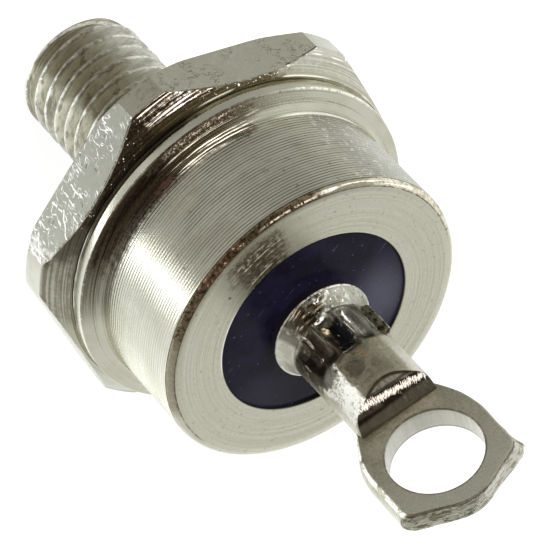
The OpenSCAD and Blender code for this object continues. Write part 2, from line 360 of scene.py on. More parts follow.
def hexagon_rows(angles):
    """Rows of (radius, height) for each column, from the seating face up to the pedestal's edge.

    The seat's chamfer was turned a little off centre, so that it cuts deeper on one side.
    """
    wall = wall_radius(angles)
    seat_r = SEAT_R - SEAT_SHRINK + SEAT_LEAN * np.cos(angles - math.radians(SEAT_LEAN_AZIMUTH))
    seat = np.minimum(wall, seat_r)
    low = np.maximum(wall - seat_r, 0) * (SEAT_CHAMFER_H / (CORNER_R - seat_r))
    foot = np.maximum(low + 0.03, 0.07)
    high = chamfer_height(wall)
    rows = [
        (seat * 0.55, 0),
        (seat - 0.35, 0),
        (seat - 0.045, 0),
        (seat - 0.012, 0.012),
        (np.minimum(seat + 0.4 * (wall - seat), wall - 0.006), np.maximum(0.4 * low, 0.02)),
        (wall - 0.01, np.maximum(low - 0.03, 0.03)),
    ]
    rows += [(wall, (1 - t) * foot + t * (high - 0.05)) for t in np.arange(WALL_ROWS) / WALL_ROWS]
    rows += [(wall, high - 0.05), (wall - 0.014, high - 0.008)]
    rows += chamfer_rows(wall, angles)
    rows += [(radius, BASE_H) for radius in (BASE_TOP_R - 0.01, BASE_TOP_R - 0.4, PEDESTAL_R)]
    rows.append((PEDESTAL_R, PEDESTAL_TOP - 0.04))
    return rows + [(PEDESTAL_R - 0.04, PEDESTAL_TOP), (PEDESTAL_R * 0.5, PEDESTAL_TOP)]


def thread_radius(azimuth, z):
    """Radius of the threaded stud at an azimuth in radians and a height: narrow crests, rounded roots."""
    turns = (z - THREAD_PHASE_Z) / THREAD_PITCH - azimuth / (2 * math.pi)
    away = np.abs(turns - np.round(turns))
    flank = smoothstep(0.04, 0.44, away) * 0.5 + np.clip((away - 0.06) / 0.32, 0, 1) * 0.5
    run_out = smoothstep(-NECK_LEN - 0.3, -NECK_LEN + 0.3, z)
    return STUD_R - THREAD_DEPTH * flank * (1 - run_out)


def stud_rows(angles):
    """Rows from the stud's end up to the seating face."""
    rows = [(0.5 * (STUD_R - STUD_CHAMFER), -STUD_LEN), (STUD_R - THREAD_DEPTH - 0.12, -STUD_LEN)]
    for up in np.arange(0, STUD_LEN - 0.02, THREAD_PITCH / THREAD_ROWS):
        z = -STUD_LEN + 0.02 + up
        rows.append((np.minimum(thread_radius(angles, z), STUD_R - STUD_CHAMFER + up + 0.02), z))
    return rows


def dented_stud(points):
    """Plating builds up unevenly on the crests, and a few of them are nicked."""
    lumps = smooth_noise(11, 9, 3.0, 9.0)(points) * 0.010
    nicks = smooth_noise(12, 9, 2.0, 5.0)(points)
    crest = smoothstep(STUD_R - 0.2, STUD_R - 0.02, off_axis(points))
    pull = lumps * smoothstep(2.3, 2.6, off_axis(points)) - 0.05 * crest * smoothstep(0.75, 1.1, nicks)
    return pulled(points, np.minimum(pull, 0.0) - 0.004 * crest)


def worn_hexagon(points):
    """Small dents and burrs along the hexagon's edges."""
    radius = off_axis(points)
    near_edge = sum(np.exp(-((points[:, 2] - z) ** 2) / 0.05) for z in (CORNER_H, 0.2))
    edge = smoothstep(8.7, 9.2, radius) * near_edge
    dents = smoothstep(0.45, 1.0, smooth_noise(21, 10, 1.5, 4.0)(points)) * 0.05
    wave = smooth_noise(22, 8, 0.6, 1.5)(points) * 0.008
    return pulled(points, -(dents * edge) - np.abs(wave) * smoothstep(8.55, 8.7, radius))


def base_mesh(material):
    """Hexagon and threaded stud as one closed surface; the stud has half as many columns."""
    wide = hexagon_columns()
    slim = wide[::2]
    stud = dented_stud(stack_rows(stud_rows(slim), slim))
    body = worn_hexagon(stack_rows(hexagon_rows(wide), wide))
    ns, nw = len(slim), len(wide)
    first, end = len(stud), len(stud) + len(body)
    last = first - ns
    faces = grid_faces(first // ns, ns) + grid_faces(len(body) // nw, nw, offset=first)
    for j in range(ns):
        k = (j + 1) % ns
        a, b, c = first + 2 * j, first + 2 * j + 1, first + (2 * j + 2) % nw
        faces += [(last + j, b, a), (last + j, last + k, b), (last + k, c, b)]
    faces += flipped(fan(end, 0, ns)) + fan(end + 1, end - nw, nw)
    verts = [*stud, *body, (0, 0, -STUD_LEN), (0, 0, PEDESTAL_TOP)]
    return new_piece("stud_base_look", verts, faces, material, 24)


def ring_mesh(material):
    """Recessed band between base and case, with a slightly hollow side."""
    swell = ((0.0, 0.0), (0.11, 0.05), (0.14, 0.12), (0.12, 0.20), (0.15, 0.28), (0.05, CASE_Z - BASE_H))
    side = [(RING_R + out, BASE_H + up) for out, up in swell]
    rough = smooth_noise(31, 10, 2.0, 7.0)

    def change(points):
        outside = smoothstep(RING_R - 0.2, RING_R - 0.05, off_axis(points))
        return pulled(points, -np.abs(rough(points)) * 0.04 * outside)

    profile = [(RING_BORE_R, BASE_H), *side, (RING_BORE_R, CASE_Z)]
    return revolved("weld_ring_look", profile, FINE_COLUMNS, material, 40, change)


def foot_rows():
    """Rough turned marks over the flange's top face and the fillet up to the barrel."""
    shelf = CASE_Z + FLANGE_H + FLANGE_RISE
    foot_r = CASE_R + FILLET_R
    start_r = FLANGE_R - 0.12
    line = []
    for r in np.linspace(start_r, foot_r + 0.02, 12):
        line.append((r, shelf - 0.105 * (r - foot_r) / (start_r - foot_r), 0.0, 1.0))
    for a in np.radians(np.linspace(268, 184, 24)):
        c, n = math.cos(a), math.sin(a)
        line.append((foot_r + FILLET_R * c, shelf + FILLET_R + FILLET_R * n, -c, -n))
    rng = np.random.default_rng(43)
    rows = []
    for k, (r, z, out, up) in enumerate(line):
        if k % 4 == 0:
            depth = 0.016 * rng.uniform(0.2, 1.2)
        cut = depth * (0.0, 0.55, 1.0, 0.5)[k % 4]
        rows.append((r - out * cut, z - up * cut))
    return rows


def barrel_rows():
    """Grooved barrel from its foot up to the rim: one groove a pass of the tool."""
    rng = np.random.default_rng(41)
    rows = []
    z = BARREL_FOOT + 0.02
    for _ in range(GROOVES):
        depth = GROOVE_DEPTH * rng.uniform(0.8, 1.1)
        share = rng.uniform(0.48, 0.54)
        rows += [
            (CASE_R - 0.001, z),
            (CASE_R - depth * 0.6, z + 0.28 * share * GROOVE_STEP),
            (CASE_R - depth, z + share * GROOVE_STEP),
            (CASE_R - depth * 0.5, z + (share + 0.22) * GROOVE_STEP),
        ]
        z += GROOVE_STEP
    return rows + [(CASE_R - 0.001, BARREL_TOP)]


def rim_rows():
    """Broken edge between barrel and top: a blunt, slightly rounded bevel with a scored line at both ends."""
    rows = []
    for t in np.linspace(0.03, 0.97, 9):
        bulge = 0.055 * math.sin(math.pi * t) ** 0.7 - 0.018 * (t < 0.06 or t > 0.94)
        rows.append((CASE_R - t * RIM_R + bulge, BARREL_TOP + t * RIM_R + bulge))
    return rows + [(CASE_R - RIM_R - 0.05, CASE_TOP)]


def case_profile():
    """Closed profile of the case, from the flange's underside up the outside and back down the cavity."""
    flange_top = CASE_Z + FLANGE_H
    start = [(CAVITY_R, CASE_Z), (0.5 * (CAVITY_R + FLANGE_R), CASE_Z)]
    heel = arc(FLANGE_R - 0.05, CASE_Z + 0.05, 0.05, -75, 0, 3)
    side = [(FLANGE_R - 0.004, CASE_Z + 0.5 * FLANGE_H)]
    corner = arc(FLANGE_R - 0.06, flange_top - 0.06, 0.06, 0, 72, 4)
    flat = [(CASE_R - RIM_R - inward, CASE_TOP) for inward in (0.3, 0.9, 1.5)]
    flat += [(WINDOW_R + outward, CASE_TOP) for outward in (0.35, 0.09)]
    lip = arc(WINDOW_R + 0.05, CASE_TOP - 0.05, 0.05, 90, 180, 3)
    inside = [
        (WINDOW_R, CASE_TOP - 0.4),
        (WINDOW_R, CAVITY_TOP),
        (CAVITY_R - 0.1, CAVITY_TOP),
        (CAVITY_R, CAVITY_TOP - 0.1),
        (CAVITY_R, CASE_Z + 0.5),
    ]
    return start + heel + side + corner + foot_rows() + barrel_rows() + rim_rows() + flat + lip + inside


def case_mesh(material):
    """Case turned in one piece: flange, fillet, grooved barrel, rim, flat top, window and cavity."""
    wobble = smooth_noise(42, 8, 0.4, 1.4)

    def change(points):
        side = smoothstep(CASE_R - 0.05, CASE_R - 0.005, off_axis(points))
        side *= smoothstep(4.0, 4.3, points[:, 2])
        return pulled(points, -np.abs(wobble(points)) * 0.004 * side)

    return revolved("cap_shell_look", case_profile(), FINE_COLUMNS, material, 40, change)


def glass_mesh(material):
    """Fused glass, its face rising a little from the window to the sleeve with a meniscus at both."""
    top = []
    for t in np.linspace(0, 1, 15):
        sag = 0.03 * math.sin(math.pi * t)
        climb = 0.02 * math.exp(-t / 0.03) + 0.07 * math.exp(-(1 - t) / 0.04)
        z = CASE_TOP - 0.16 + 0.20 * t**0.6 - 0.06 * t**2 - sag + climb
        top.append((WINDOW_R - t * (WINDOW_R - SLEEVE_R), z))
    profile = [(SLEEVE_R, CAVITY_TOP), (WINDOW_R, CAVITY_TOP), *top]
    return revolved("glass_seal_look", profile, COLUMNS, material, 50)


def sleeve_mesh(material):
    """Sleeve through the glass with its flared collar."""
    under = COLLAR_TOP - COLLAR_T
    profile = [
        (SLEEVE_BORE_R, SLEEVE_Z),
        (SLEEVE_R, SLEEVE_Z),
        (SLEEVE_R, CASE_TOP - 0.1),
        (SLEEVE_R, under - 0.1),
        *arc(SLEEVE_R + 0.08, under - 0.08, 0.08, 180, 90, 3),
        (COLLAR_R - 0.06, under),
        *arc(COLLAR_R - 0.075, under + 0.08, 0.075, -75, 75, 6),
        (COLLAR_R - 0.12, COLLAR_TOP),
        (SLEEVE_BORE_R, COLLAR_TOP),
    ]
    lumps = smooth_noise(51, 8, 1.0, 3.0)

    def change(points):
        edge = smoothstep(SLEEVE_R, COLLAR_R, off_axis(points))
        return pulled(points, -(0.02 + 0.02 * lumps(points)) * edge)

    return revolved("terminal_sleeve_look", profile, COLUMNS, material, 40, change)


def solder_mesh(material):
    """Lumpy slope of solder from the collar's edge up to the tube."""
    foot_r = COLLAR_R - 0.03
    rise = SOLDER_TOP - COLLAR_TOP
    slope = [(foot_r - t * (foot_r - TUBE_R), COLLAR_TOP + rise * t**1.5) for t in np.linspace(0, 1, 14)]
    lumps = smooth_noise(61, 12, 2.5, 7.0)

    def change(points):
        out = points.copy()
        free = smoothstep(0.0, 0.25, (points[:, 2] - COLLAR_TOP) / rise)
        free *= smoothstep(TUBE_R + 0.001, TUBE_R + 0.1, off_axis(points))
        out[:, 2] += lumps(points) * 0.05 * free
        return out

    return revolved("terminal_solder_look", [(TUBE_R, COLLAR_TOP), *slope], COLUMNS, material, 60, change)


def crimp_pull(azimuth, z):
    """How far the crimping jaws press the tube in, in millimetres; negative where metal is squeezed out."""
    pull = np.zeros_like(azimuth)
    lean = (z - CRIMP_Z) * -2.8
    pressed = smoothstep(CRIMP_Z, CRIMP_Z + 0.25, z) * (1 - smoothstep(CRIMP_TOP - 0.35, CRIMP_TOP, z))
    for jaw in (0, 180):
        for centre, half, depth, low, high in CRIMP_FLUTES:
            along = smoothstep(low - 0.04, low + 0.22, z) * (1 - smoothstep(high - 0.55, high + 0.10, z))
            pull += depth * along * turn_between(azimuth, centre + jaw + lean, half - 2, 8.5)
        pull += 0.42 * pressed * turn_between(azimuth, 215 + jaw, 2.5, 4.5)
    return pull - 0.27 * pressed * turn_between(azimuth, 205, 2.0, 3.0)


def tube_heights():
    """Heights of the tube's outer wall from the step down."""
    ends = (
        (TUBE_TOP - 0.2, CRIMP_TOP + 0.3, 24),
        (CRIMP_TOP + 0.25, CRIMP_Z - 0.3, 60),
        (CRIMP_Z - 0.4, SLEEVE_Z + 0.05, 10),
    )
    return np.concatenate([np.linspace(*end) for end in ends])


def step_height(x, y):
    """Height of the pressed step: rounded front edge, narrow ledge, then a slope up to the plate's face."""
    ledge = -0.72 - 0.10 * x
    front = TUBE_TOP - 0.10 - 0.34 * np.clip((-1.42 - y) / 0.58, 0, 1) ** 1.7
    slope = 0.42 * smoothstep(-0.12, 1.0, (y - ledge) / (0.06 - ledge))
    hump = 0.035 * np.exp(-(((y + 1.62 - 0.08 * x) / 0.07) ** 2)) * smoothstep(0.9, 0.3, np.abs(x + 0.1))
    behind = smoothstep(PLATE_T - 0.3, PLATE_T - 0.05, y)
    return front + hump + slope * (1 - behind) + 0.06 * behind


def tube_mesh():
    """Terminal tube with its crimp and its pressed end, as one closed surface."""
    angles = turn(FINE_COLUMNS)
    azimuth = np.degrees(angles)
    cosines, sines = np.cos(angles), np.sin(angles)
    grain = smooth_noise(73, 10, 6.0, 14.0)
    dents = smooth_noise(72, 12, 1.5, 4.0)
    rows = []
    for r in [*np.linspace(0.06, 1.86, 46), 1.92, 1.965]:
        x, y = r * cosines, r * sines
        marks = grain(np.stack([x * 2.4, y * 0.25, 0 * x], 1)) * 0.012 * smoothstep(-0.1, -0.5, y)
        rows.append((r, step_height(x, y) + marks * smoothstep(1.95, 1.8, r)))
    drop = step_height(TUBE_R * cosines, TUBE_R * sines) - TUBE_TOP
    for z in tube_heights():
        height = z + smoothstep(CRIMP_TOP + 0.4, TUBE_TOP - 0.2, z) * (drop + 0.1)
        dented = np.abs(dents(ring_at(TUBE_R, angles, height))) * 0.035
        radius = TUBE_R - crimp_pull(azimuth, z + 0 * azimuth)
        rows.append((radius - dented * smoothstep(COLLAR_TOP + 0.4, CRIMP_Z, z), height))
    rows += [
        (TUBE_R - 0.04, SLEEVE_Z),
        (TUBE_BORE_R + 0.04, SLEEVE_Z),
        (TUBE_BORE_R, SLEEVE_Z + 0.04),
        (TUBE_BORE_R, CRIMP_Z - 0.3),
        (CRIMP_BORE_R, CRIMP_Z + 0.1),
        (CRIMP_BORE_R, CRIMP_TOP - 0.1),
        (TUBE_BORE_R, CRIMP_TOP + 0.2),
        (TUBE_BORE_R, TUBE_TOP - TUBE_END_T - TUBE_BORE_R - 0.1),
        (0.3, TUBE_TOP - TUBE_END_T - 0.4),
    ]
    points = stack_rows(rows, angles)
    poles = [[0, 0, float(step_height(0.0, 0.0))], [0, 0, TUBE_TOP - TUBE_END_T - 0.1]]
    faces = flipped(grid_faces(len(rows), FINE_COLUMNS)) + fan(len(points), 0, FINE_COLUMNS)
    faces += flipped(fan(len(points) + 1, len(points) - FINE_COLUMNS, FINE_COLUMNS))
    return new_piece("tube_part", [*points, *poles], faces, None, 0)


def side_width(z, depth, left):
    """Half width of the lug plate at a height, from its front face (depth 0) to its back (depth 1)."""
    t = np.clip((z - (TUBE_TOP - 0.15)) / 2.6, 0, 1)
    front = TUBE_R + (PLATE_HALF - 0.02 - TUBE_R) * np.sin(np.radians(90 * t)) ** 0.9
    bulge = 0.16 * math.sin(math.pi * min(depth, 1.0) ** 0.8) + 0.10 * depth
    bulge *= smoothstep(TUBE_TOP, TUBE_TOP + 1.5, z)
    if not left:
        return front + bulge
    horn = 0.50 * depth**1.5 * np.exp(-(((z - 20.3) / 0.62) ** 2))
    return front + 0.6 * bulge + horn


def end_height(x, half):
    """Height of the plate's end: sheared edges up from the corners, run into a round tip; corners rounded."""
    within = max(PLATE_CORNER_R - half + abs(x), 0.0)
    drop = PLATE_CORNER_R - math.sqrt(PLATE_CORNER_R**2 - within**2)
    centre_z = TIP_TOP - TIP_R
    reach = math.hypot(half, CORNER_Z - centre_z)
    tip_turn = math.atan2(CORNER_Z - centre_z, half) + math.acos(TIP_R / reach)
    shear_x, shear_z = TIP_R * math.cos(tip_turn), centre_z + TIP_R * math.sin(tip_turn)
    if abs(x) <= shear_x:
        return centre_z + math.sqrt(TIP_R**2 - x * x) - drop
    return CORNER_Z + (half - abs(x)) * (shear_z - CORNER_Z) / (half - shear_x) - drop


def plate_outline(depth):
    """Closed outline of the plate in the XZ plane at a depth, the same features at the same indices."""
    foot_z = TUBE_TOP - 0.85
    heights = np.linspace(TUBE_TOP - 0.65, CORNER_Z - 0.28, 60)
    low = smoothstep(TUBE_TOP - 0.7, TUBE_TOP - 0.1, heights)
    sides = []
    for left in (False, True):
        side = [(1.2 + 0.25 * i / 3, foot_z + 0.2 * i / 3) for i in range(3)]
        side += [(1.45 + share * (side_width(z, depth, left) - 1.45), z) for z, share in zip(heights, low)]
        sides.append(side)
    wide, wide_left = (float(side_width(np.array(CORNER_Z), depth, left)) for left in (False, True))
    end = []
    for t in np.linspace(1, -1, 121):
        half = wide if t > 0 else wide_left
        x = t * (half - 0.01)
        end.append((x, end_height(x, half)))
    bottom = [(x, foot_z) for x in np.linspace(-0.9, 0.9, 7)]
    return np.array([*sides[0], *end, *((-x, z) for x, z in reversed(sides[1])), *bottom], float)


def roughened_plate(points):
    """Torn metal on the sheared end, small dents down the sides and on the front face."""
    coarse = smooth_noise(71, 12, 1.2, 3.0)
    fine = smooth_noise(74, 16, 5.0, 11.0)
    x, y, z = points.T
    out = points.copy()
    behind = smoothstep(0.0, 0.15, y)
    tip = smoothstep(0.0, 0.25, z - (CORNER_Z - 0.25 + (PLATE_HALF - np.abs(x)) * 0.42))
    tip = tip * smoothstep(HOLE_R + 0.2, HOLE_R + 0.5, np.hypot(x, z - HOLE_Z))
    torn = np.abs(coarse(points)) * 0.07 + np.clip(fine(points * [1, 1.6, 1]) + 0.4, 0, 1.4) * 0.035
    out[:, 2] -= torn * tip * (0.25 + 0.75 * behind)
    sides = smoothstep(2.3, 2.75, np.abs(x)) * behind
    out[:, 0] -= np.sign(x) * np.abs(coarse(points * 1.7)) * 0.04 * sides
    return out


def quarter_turn(count):
    """Cosine and sine of angles from 0 to 90 degrees."""
    return [(math.cos(a), math.sin(a)) for a in np.radians(np.linspace(0, 90, count))]


def plate_levels():
    """Rows over the front edge, side and back edge: how far in from the outline, and how deep."""
    front_round = [(PLATE_FRONT_R * (1 - n), PLATE_FRONT_R * (1 - c)) for c, n in quarter_turn(7)]
    side = [(0.0, y) for y in np.linspace(PLATE_FRONT_R + 0.06, PLATE_T - PLATE_BACK_R - 0.06, 12)]
    back_round = [(PLATE_BACK_R * (1 - c), PLATE_T - PLATE_BACK_R * (1 - n)) for c, n in quarter_turn(8)]
    return front_round + side + back_round


def plate_mesh():
    """Pressed plate with its eyelet: loops of points from the eyelet across the face, edge, back and bore."""
    centre = np.array([0.0, HOLE_Z])
    away = plate_outline(0.0) - centre
    angle = np.arctan2(away[:, 1], away[:, 0])
    ray = np.stack([np.cos(angle), np.sin(angle)], 1)

    def loop(flat, y):
        return np.stack([flat[:, 0], np.full(len(flat), y), flat[:, 1]], 1)

    def inset(depth, amount):
        out = plate_outline(depth) - centre
        length = np.linalg.norm(out, axis=1)
        return centre + out * ((length - amount) / length)[:, None]

    hole = centre + ray * (HOLE_R + 0.05)
    rim_front, rim_back = inset(0.0, PLATE_FRONT_R), inset(1.0, PLATE_BACK_R)
    loops = [loop(hole + (rim_front - hole) * t, 0.0) for t in np.linspace(0, 1, 10)[:-1]]
    loops += [loop(inset(y / PLATE_T, amount), y) for amount, y in plate_levels()]
    loops += [loop(rim_back + (hole - rim_back) * t, PLATE_T) for t in np.linspace(0, 1, 8)[1:]]
    loops.append(loop(centre + ray * (HOLE_R + 0.012), PLATE_T - 0.02))
    loops += [loop(centre + ray * HOLE_R, y) for y in np.linspace(PLATE_T - 0.06, 0.06, 5)]
    loops.append(loop(centre + ray * (HOLE_R + 0.015), 0.018))
    faces = flipped(grid_faces(len(loops), len(ray), wrap_rows=True))
    return new_piece("plate_part", roughened_plate(np.concatenate(loops)), faces, None, 0)


def lug_mesh(material):
    """Tube and plate joined to one closed mesh."""
    tube, plate = tube_mesh(), plate_mesh()
    join = tube.modifiers.new("join", "BOOLEAN")
    join.operation = "UNION"
    join.solver = "MANIFOLD"
    join.object = plate
    bpy.context.view_layer.update()
    shape = tube.evaluated_get(bpy.context.evaluated_depsgraph_get())
    mesh = bpy.data.meshes.new_from_object(shape)
    mesh.name = "terminal_lug_look"
    mesh.materials.clear()
    mesh.materials.append(material)
    shade(mesh, 32)
    for part in (tube, plate):
        used = part.data
        bpy.data.objects.remove(part)
        bpy.data.meshes.remove(used)
    return linked("terminal_lug_look", mesh)


# Materials


class Value:
    """One output of a node, open to plain arithmetic."""

    def __init__(self, nodes, socket):
        self.nodes = nodes
        self.socket = socket

    def __add__(self, other):
        return self.nodes.math("ADD", self, other)

    def __sub__(self, other):
        return self.nodes.math("SUBTRACT", self, other)

    def __rsub__(self, other):
        return self.nodes.math("SUBTRACT", other, self)

    def __mul__(self, other):
        return self.nodes.math("MULTIPLY", self, other)

    def __truediv__(self, other):
        return self.nodes.math("DIVIDE", self, other)

    def __abs__(self):
        return self.nodes.math("ABSOLUTE", self)

    __radd__ = __add__
    __rmul__ = __mul__


class Nodes:
    """A node tree, built in short calls."""

    def __init__(self, tree):
        self.tree = tree
        tree.nodes.clear()

    def put(self, socket, value):
        """Link a value to a socket, or set a plain number, direction or colour there."""
        if isinstance(value, Value):
            self.tree.links.new(value.socket, socket)
        elif socket.type == "RGBA":
            socket.default_value = (*value, 1.0)
        else:
            socket.default_value = value

    def add(self, kind, inputs, output=0, **settings):
        """Make a node with its settings and its inputs, by name or number, and return one of its outputs."""
        node = self.tree.nodes.new("ShaderNode" + kind)
        for name, setting in settings.items():
            setattr(node, name, setting)
        for key, value in inputs.items():
            self.put(node.inputs[key], value)
        return Value(self, node.outputs[output]) if node.outputs else None

    def math(self, kind, *values):
        """Result of one step of arithmetic."""
        return self.add("Math", dict(enumerate(values)), operation=kind)

    def vector(self, kind, a, b=None, scale=None):
        """Result of one step of vector arithmetic: a number for a dot product or a length."""
        given = {0: a, 1: b, "Scale": scale}
        inputs = {key: value for key, value in given.items() if value is not None}
        output = "Value" if kind in ("DOT_PRODUCT", "LENGTH") else "Vector"
        return self.add("VectorMath", inputs, output, operation=kind)

    def combine(self, x, y, z):
        """Place or direction from its three parts."""
        return self.add("CombineXYZ", {0: x, 1: y, 2: z})

    def split(self, place):
        """The three parts of a place or direction."""
        return [self.add("SeparateXYZ", {0: place}, k) for k in range(3)]

    def length(self, x, y):
        """Length of a flat vector."""
        return self.vector("LENGTH", self.combine(x, y, 0.0))

    def noise(self, where, scale, detail=3.0, roughness=0.55):
        """Cloudy field around 0.5."""
        inputs = {"Vector": where, "Scale": scale, "Detail": detail, "Roughness": roughness}
        return self.add("TexNoise", inputs, "Fac")

    def cells(self, where, scale):
        """Distance to the nearest of many scattered points."""
        return self.add("TexVoronoi", {"Vector": where, "Scale": scale}, "Distance")

    def step(self, value, low, high, to_low=0.0, to_high=1.0):
        """Smooth change from one number to another while a value goes from low to high."""
        inputs = {"Value": value, "From Min": low, "From Max": high, "To Min": to_low, "To Max": to_high}
        return self.add("MapRange", inputs, "Result", interpolation_type="SMOOTHSTEP")

    def fall(self, value, low, high):
        """Smooth fall from 1 to 0 while a value goes from low to high."""
        return self.step(value, low, high, 1.0, 0.0)

    def above(self, value, limit, soft):
        """1 above a limit and 0 below it, blended over twice the soft width."""
        return self.step(value, limit - soft, limit + soft)

    def below(self, value, limit, soft):
        """1 below a limit and 0 above it, blended over twice the soft width."""
        return self.fall(value, limit - soft, limit + soft)

    def band(self, value, low, high, soft):
        """1 between low and high, with soft edges outside them."""
        return self.step(value, low - soft, low) * self.fall(value, high, high + soft)

    def largest(self, *values):
        """The largest of some values."""
        out = values[0]
        for value in values[1:]:
            out = self.math("MAXIMUM", out, value)
        return out

    def ray(self, kind):
        """1 for rays of a kind, 0 for others."""
        return self.add("LightPath", {}, kind)

    def mix(self, share, a, b):
        """Colour between a and b."""
        return self.add("Mix", {0: share, 6: a, 7: b}, 2, data_type="RGBA")

    def blend(self, share, a, b):
        """Number between a and b."""
        return self.add("Mix", {0: share, 2: a, 3: b}, data_type="FLOAT")


class Shader(Nodes):
    """A material's nodes. Places are in millimetres; paint, gleam and lift add layers, gleam of painted
    highlights.
    """

    def __init__(self, name, smoothest=0.3, roughest=0.3):
        self.material = bpy.data.materials.new(name)
        self.material.use_nodes = True
        super().__init__(self.material.node_tree)
        self.place = self.vector("SCALE", self.add("TexCoord", {}, "Object"), scale=1 / MM)
        self.x, self.y, self.z = self.split(self.place)
        self.radius = self.length(self.x, self.y)
        self.azimuth = self.math("ARCTAN2", self.y, self.x) * (180 / math.pi)
        self.grit = self.cloud(4.5, 4, 0.65)
        self.wander = (self.cloud(1.3, 5, 0.65) - 0.5) * 100
        self.color = (0.5, 0.5, 0.5)
        self.rough = self.blend(self.cloud(0.8, 4, 0.6), smoothest, roughest)
        self.rubbed_and_highlit = None
        self.normal = None

    def paint(self, share, tint, rough=None):
        """Lay a tint over a share of the surface, with a roughness of its own if given."""
        self.color = self.mix(share, self.color, tint)
        if rough is not None:
            self.rough = self.blend(share, self.rough, rough)

    def gleam(self, share, tint=(1.0, 1.0, 0.96)):
        """Paint a share of the surface pale and rough, so that it shines from all sides: a painted highlight,
        on rubbed metal in places.
        """
        self.paint(share, tint, 0.7)
        self.rubbed_and_highlit = share if self.rubbed_and_highlit is None else self.largest(self.rubbed_and_highlit, share)

    def lift(self, height, depth):
        """Raise the surface by a height of 0 to 1, times a depth in millimetres."""
        inputs = {"Strength": 1, "Distance": depth * MM, "Height": height}
        if self.normal is not None:
            inputs["Normal"] = self.normal
        self.normal = self.add("Bump", inputs)

    def finish(self, metallic=1.0, inputs=()):
        """Join the layers in one shader with any other inputs given, and return the material."""
        inputs = {"Base Color": self.color, "Roughness": self.rough, "Metallic": metallic, **dict(inputs)}
        # Less metallic where highlights are painted, so that they show pale from every side.
        if self.rubbed_and_highlit is not None:
            inputs["Metallic"] = metallic - self.rubbed_and_highlit * 0.75
        if self.normal is not None:
            inputs["Normal"] = self.normal
        self.add("OutputMaterial", {0: self.add("BsdfPrincipled", inputs)})
        return self.material

    def cloud(self, scale, detail=3, roughness=0.55):
        """Cloudy field around 0.5, the same in every direction."""
        return self.noise(self.place, scale, detail, roughness)

    def streaks(self, along, across, scale, detail=3, roughness=0.55):
        """Cloudy field around 0.5, drawn out round the axis."""
        return self.noise(self.turned(along, across), scale, detail, roughness)

    def flecks(self, limit, soft, scale, detail=3, roughness=0.55):
        """1 in scattered spots, where an even noise is above a limit."""
        return self.above(self.cloud(scale, detail, roughness), limit, soft)

    def patches(self, scale):
        """Soft-edged patches over about half of the surface."""
        return self.step(self.cloud(scale, 4, 0.6), 0.4, 0.62)

    def off_azimuth(self, centre, ragged):
        """Degrees from an azimuth, between -180 and 180, straight or ragged."""
        away = self.azimuth - centre
        if ragged:
            away = away + self.wander * ragged
        return self.math("WRAP", away, 180, -180)

    def sector(self, centre, half, soft, ragged=0.0):
        """1 within half degrees of an azimuth, with soft edges, straight or ragged."""
        return self.fall(abs(self.off_azimuth(centre, ragged)), half, half + soft)

    def spot(self, azimuth, height, half, tall, ragged):
        """1 inside an oval patch on a turned surface: half width in degrees, half height in millimetres."""
        away = self.length(self.off_azimuth(azimuth, 0) / half, (self.z - height) / tall)
        wander = self.cloud(2.6, 4, 0.6) - 0.5
        return self.below(away + wander * (2 * ragged), 0.95, 0.15)

    def ruled(self, value, pitch, wander):
        """Wave from 0 to 1 and back at each pitch along a value, made uneven by a wandering one."""
        return self.math("PINGPONG", value * (1 / pitch) + wander * 1.6, 0.5) * 2

    def marks(self, across, along, lean, length, width, size):
        """Short straight marks at random places, leaning by an angle in degrees from the first direction."""
        c, n = math.cos(math.radians(lean)), math.sin(math.radians(lean))
        first = across * (c / length) + along * (n / length)
        second = across * (-n / width) + along * (c / width)
        away = self.cells(self.combine(first, second, lean), 1)
        kept = self.above(self.noise(self.combine(first, second, 7), 0.9, 0), 0.52, 0.02)
        return self.fall(away, 0.6 * size, size) * kept

    def scratch(self, ends, width):
        """1 along a slightly bent line between two places of azimuth and height on the hexagon's wall."""
        (a0, z0), (a1, z1) = ends
        start = math.radians((a0 + 180) % 360 - 180) * HEX_HALF
        run, rise = math.radians(a1 - a0) * HEX_HALF, z1 - z0
        bend = (self.cloud(2.2, 2) - 0.5) * 0.25
        u = self.azimuth * (math.pi / 180 * HEX_HALF) + bend - start
        v = self.z - z0
        length = run * run + rise * rise
        share = self.largest(u * (run / length) + v * (rise / length), 0)
        share = self.math("MINIMUM", share, 1)
        return self.below(self.length(u - share * run, v - share * rise), width, 0.5 * width)

    def turned(self, along, across):
        """Place for marks that run round the axis: little change along the turn, much across it."""
        away = self.largest(self.radius, 0.01)
        c, n = self.x / away, self.y / away
        return self.combine(c * along + self.radius * across, n * along, self.z * across)


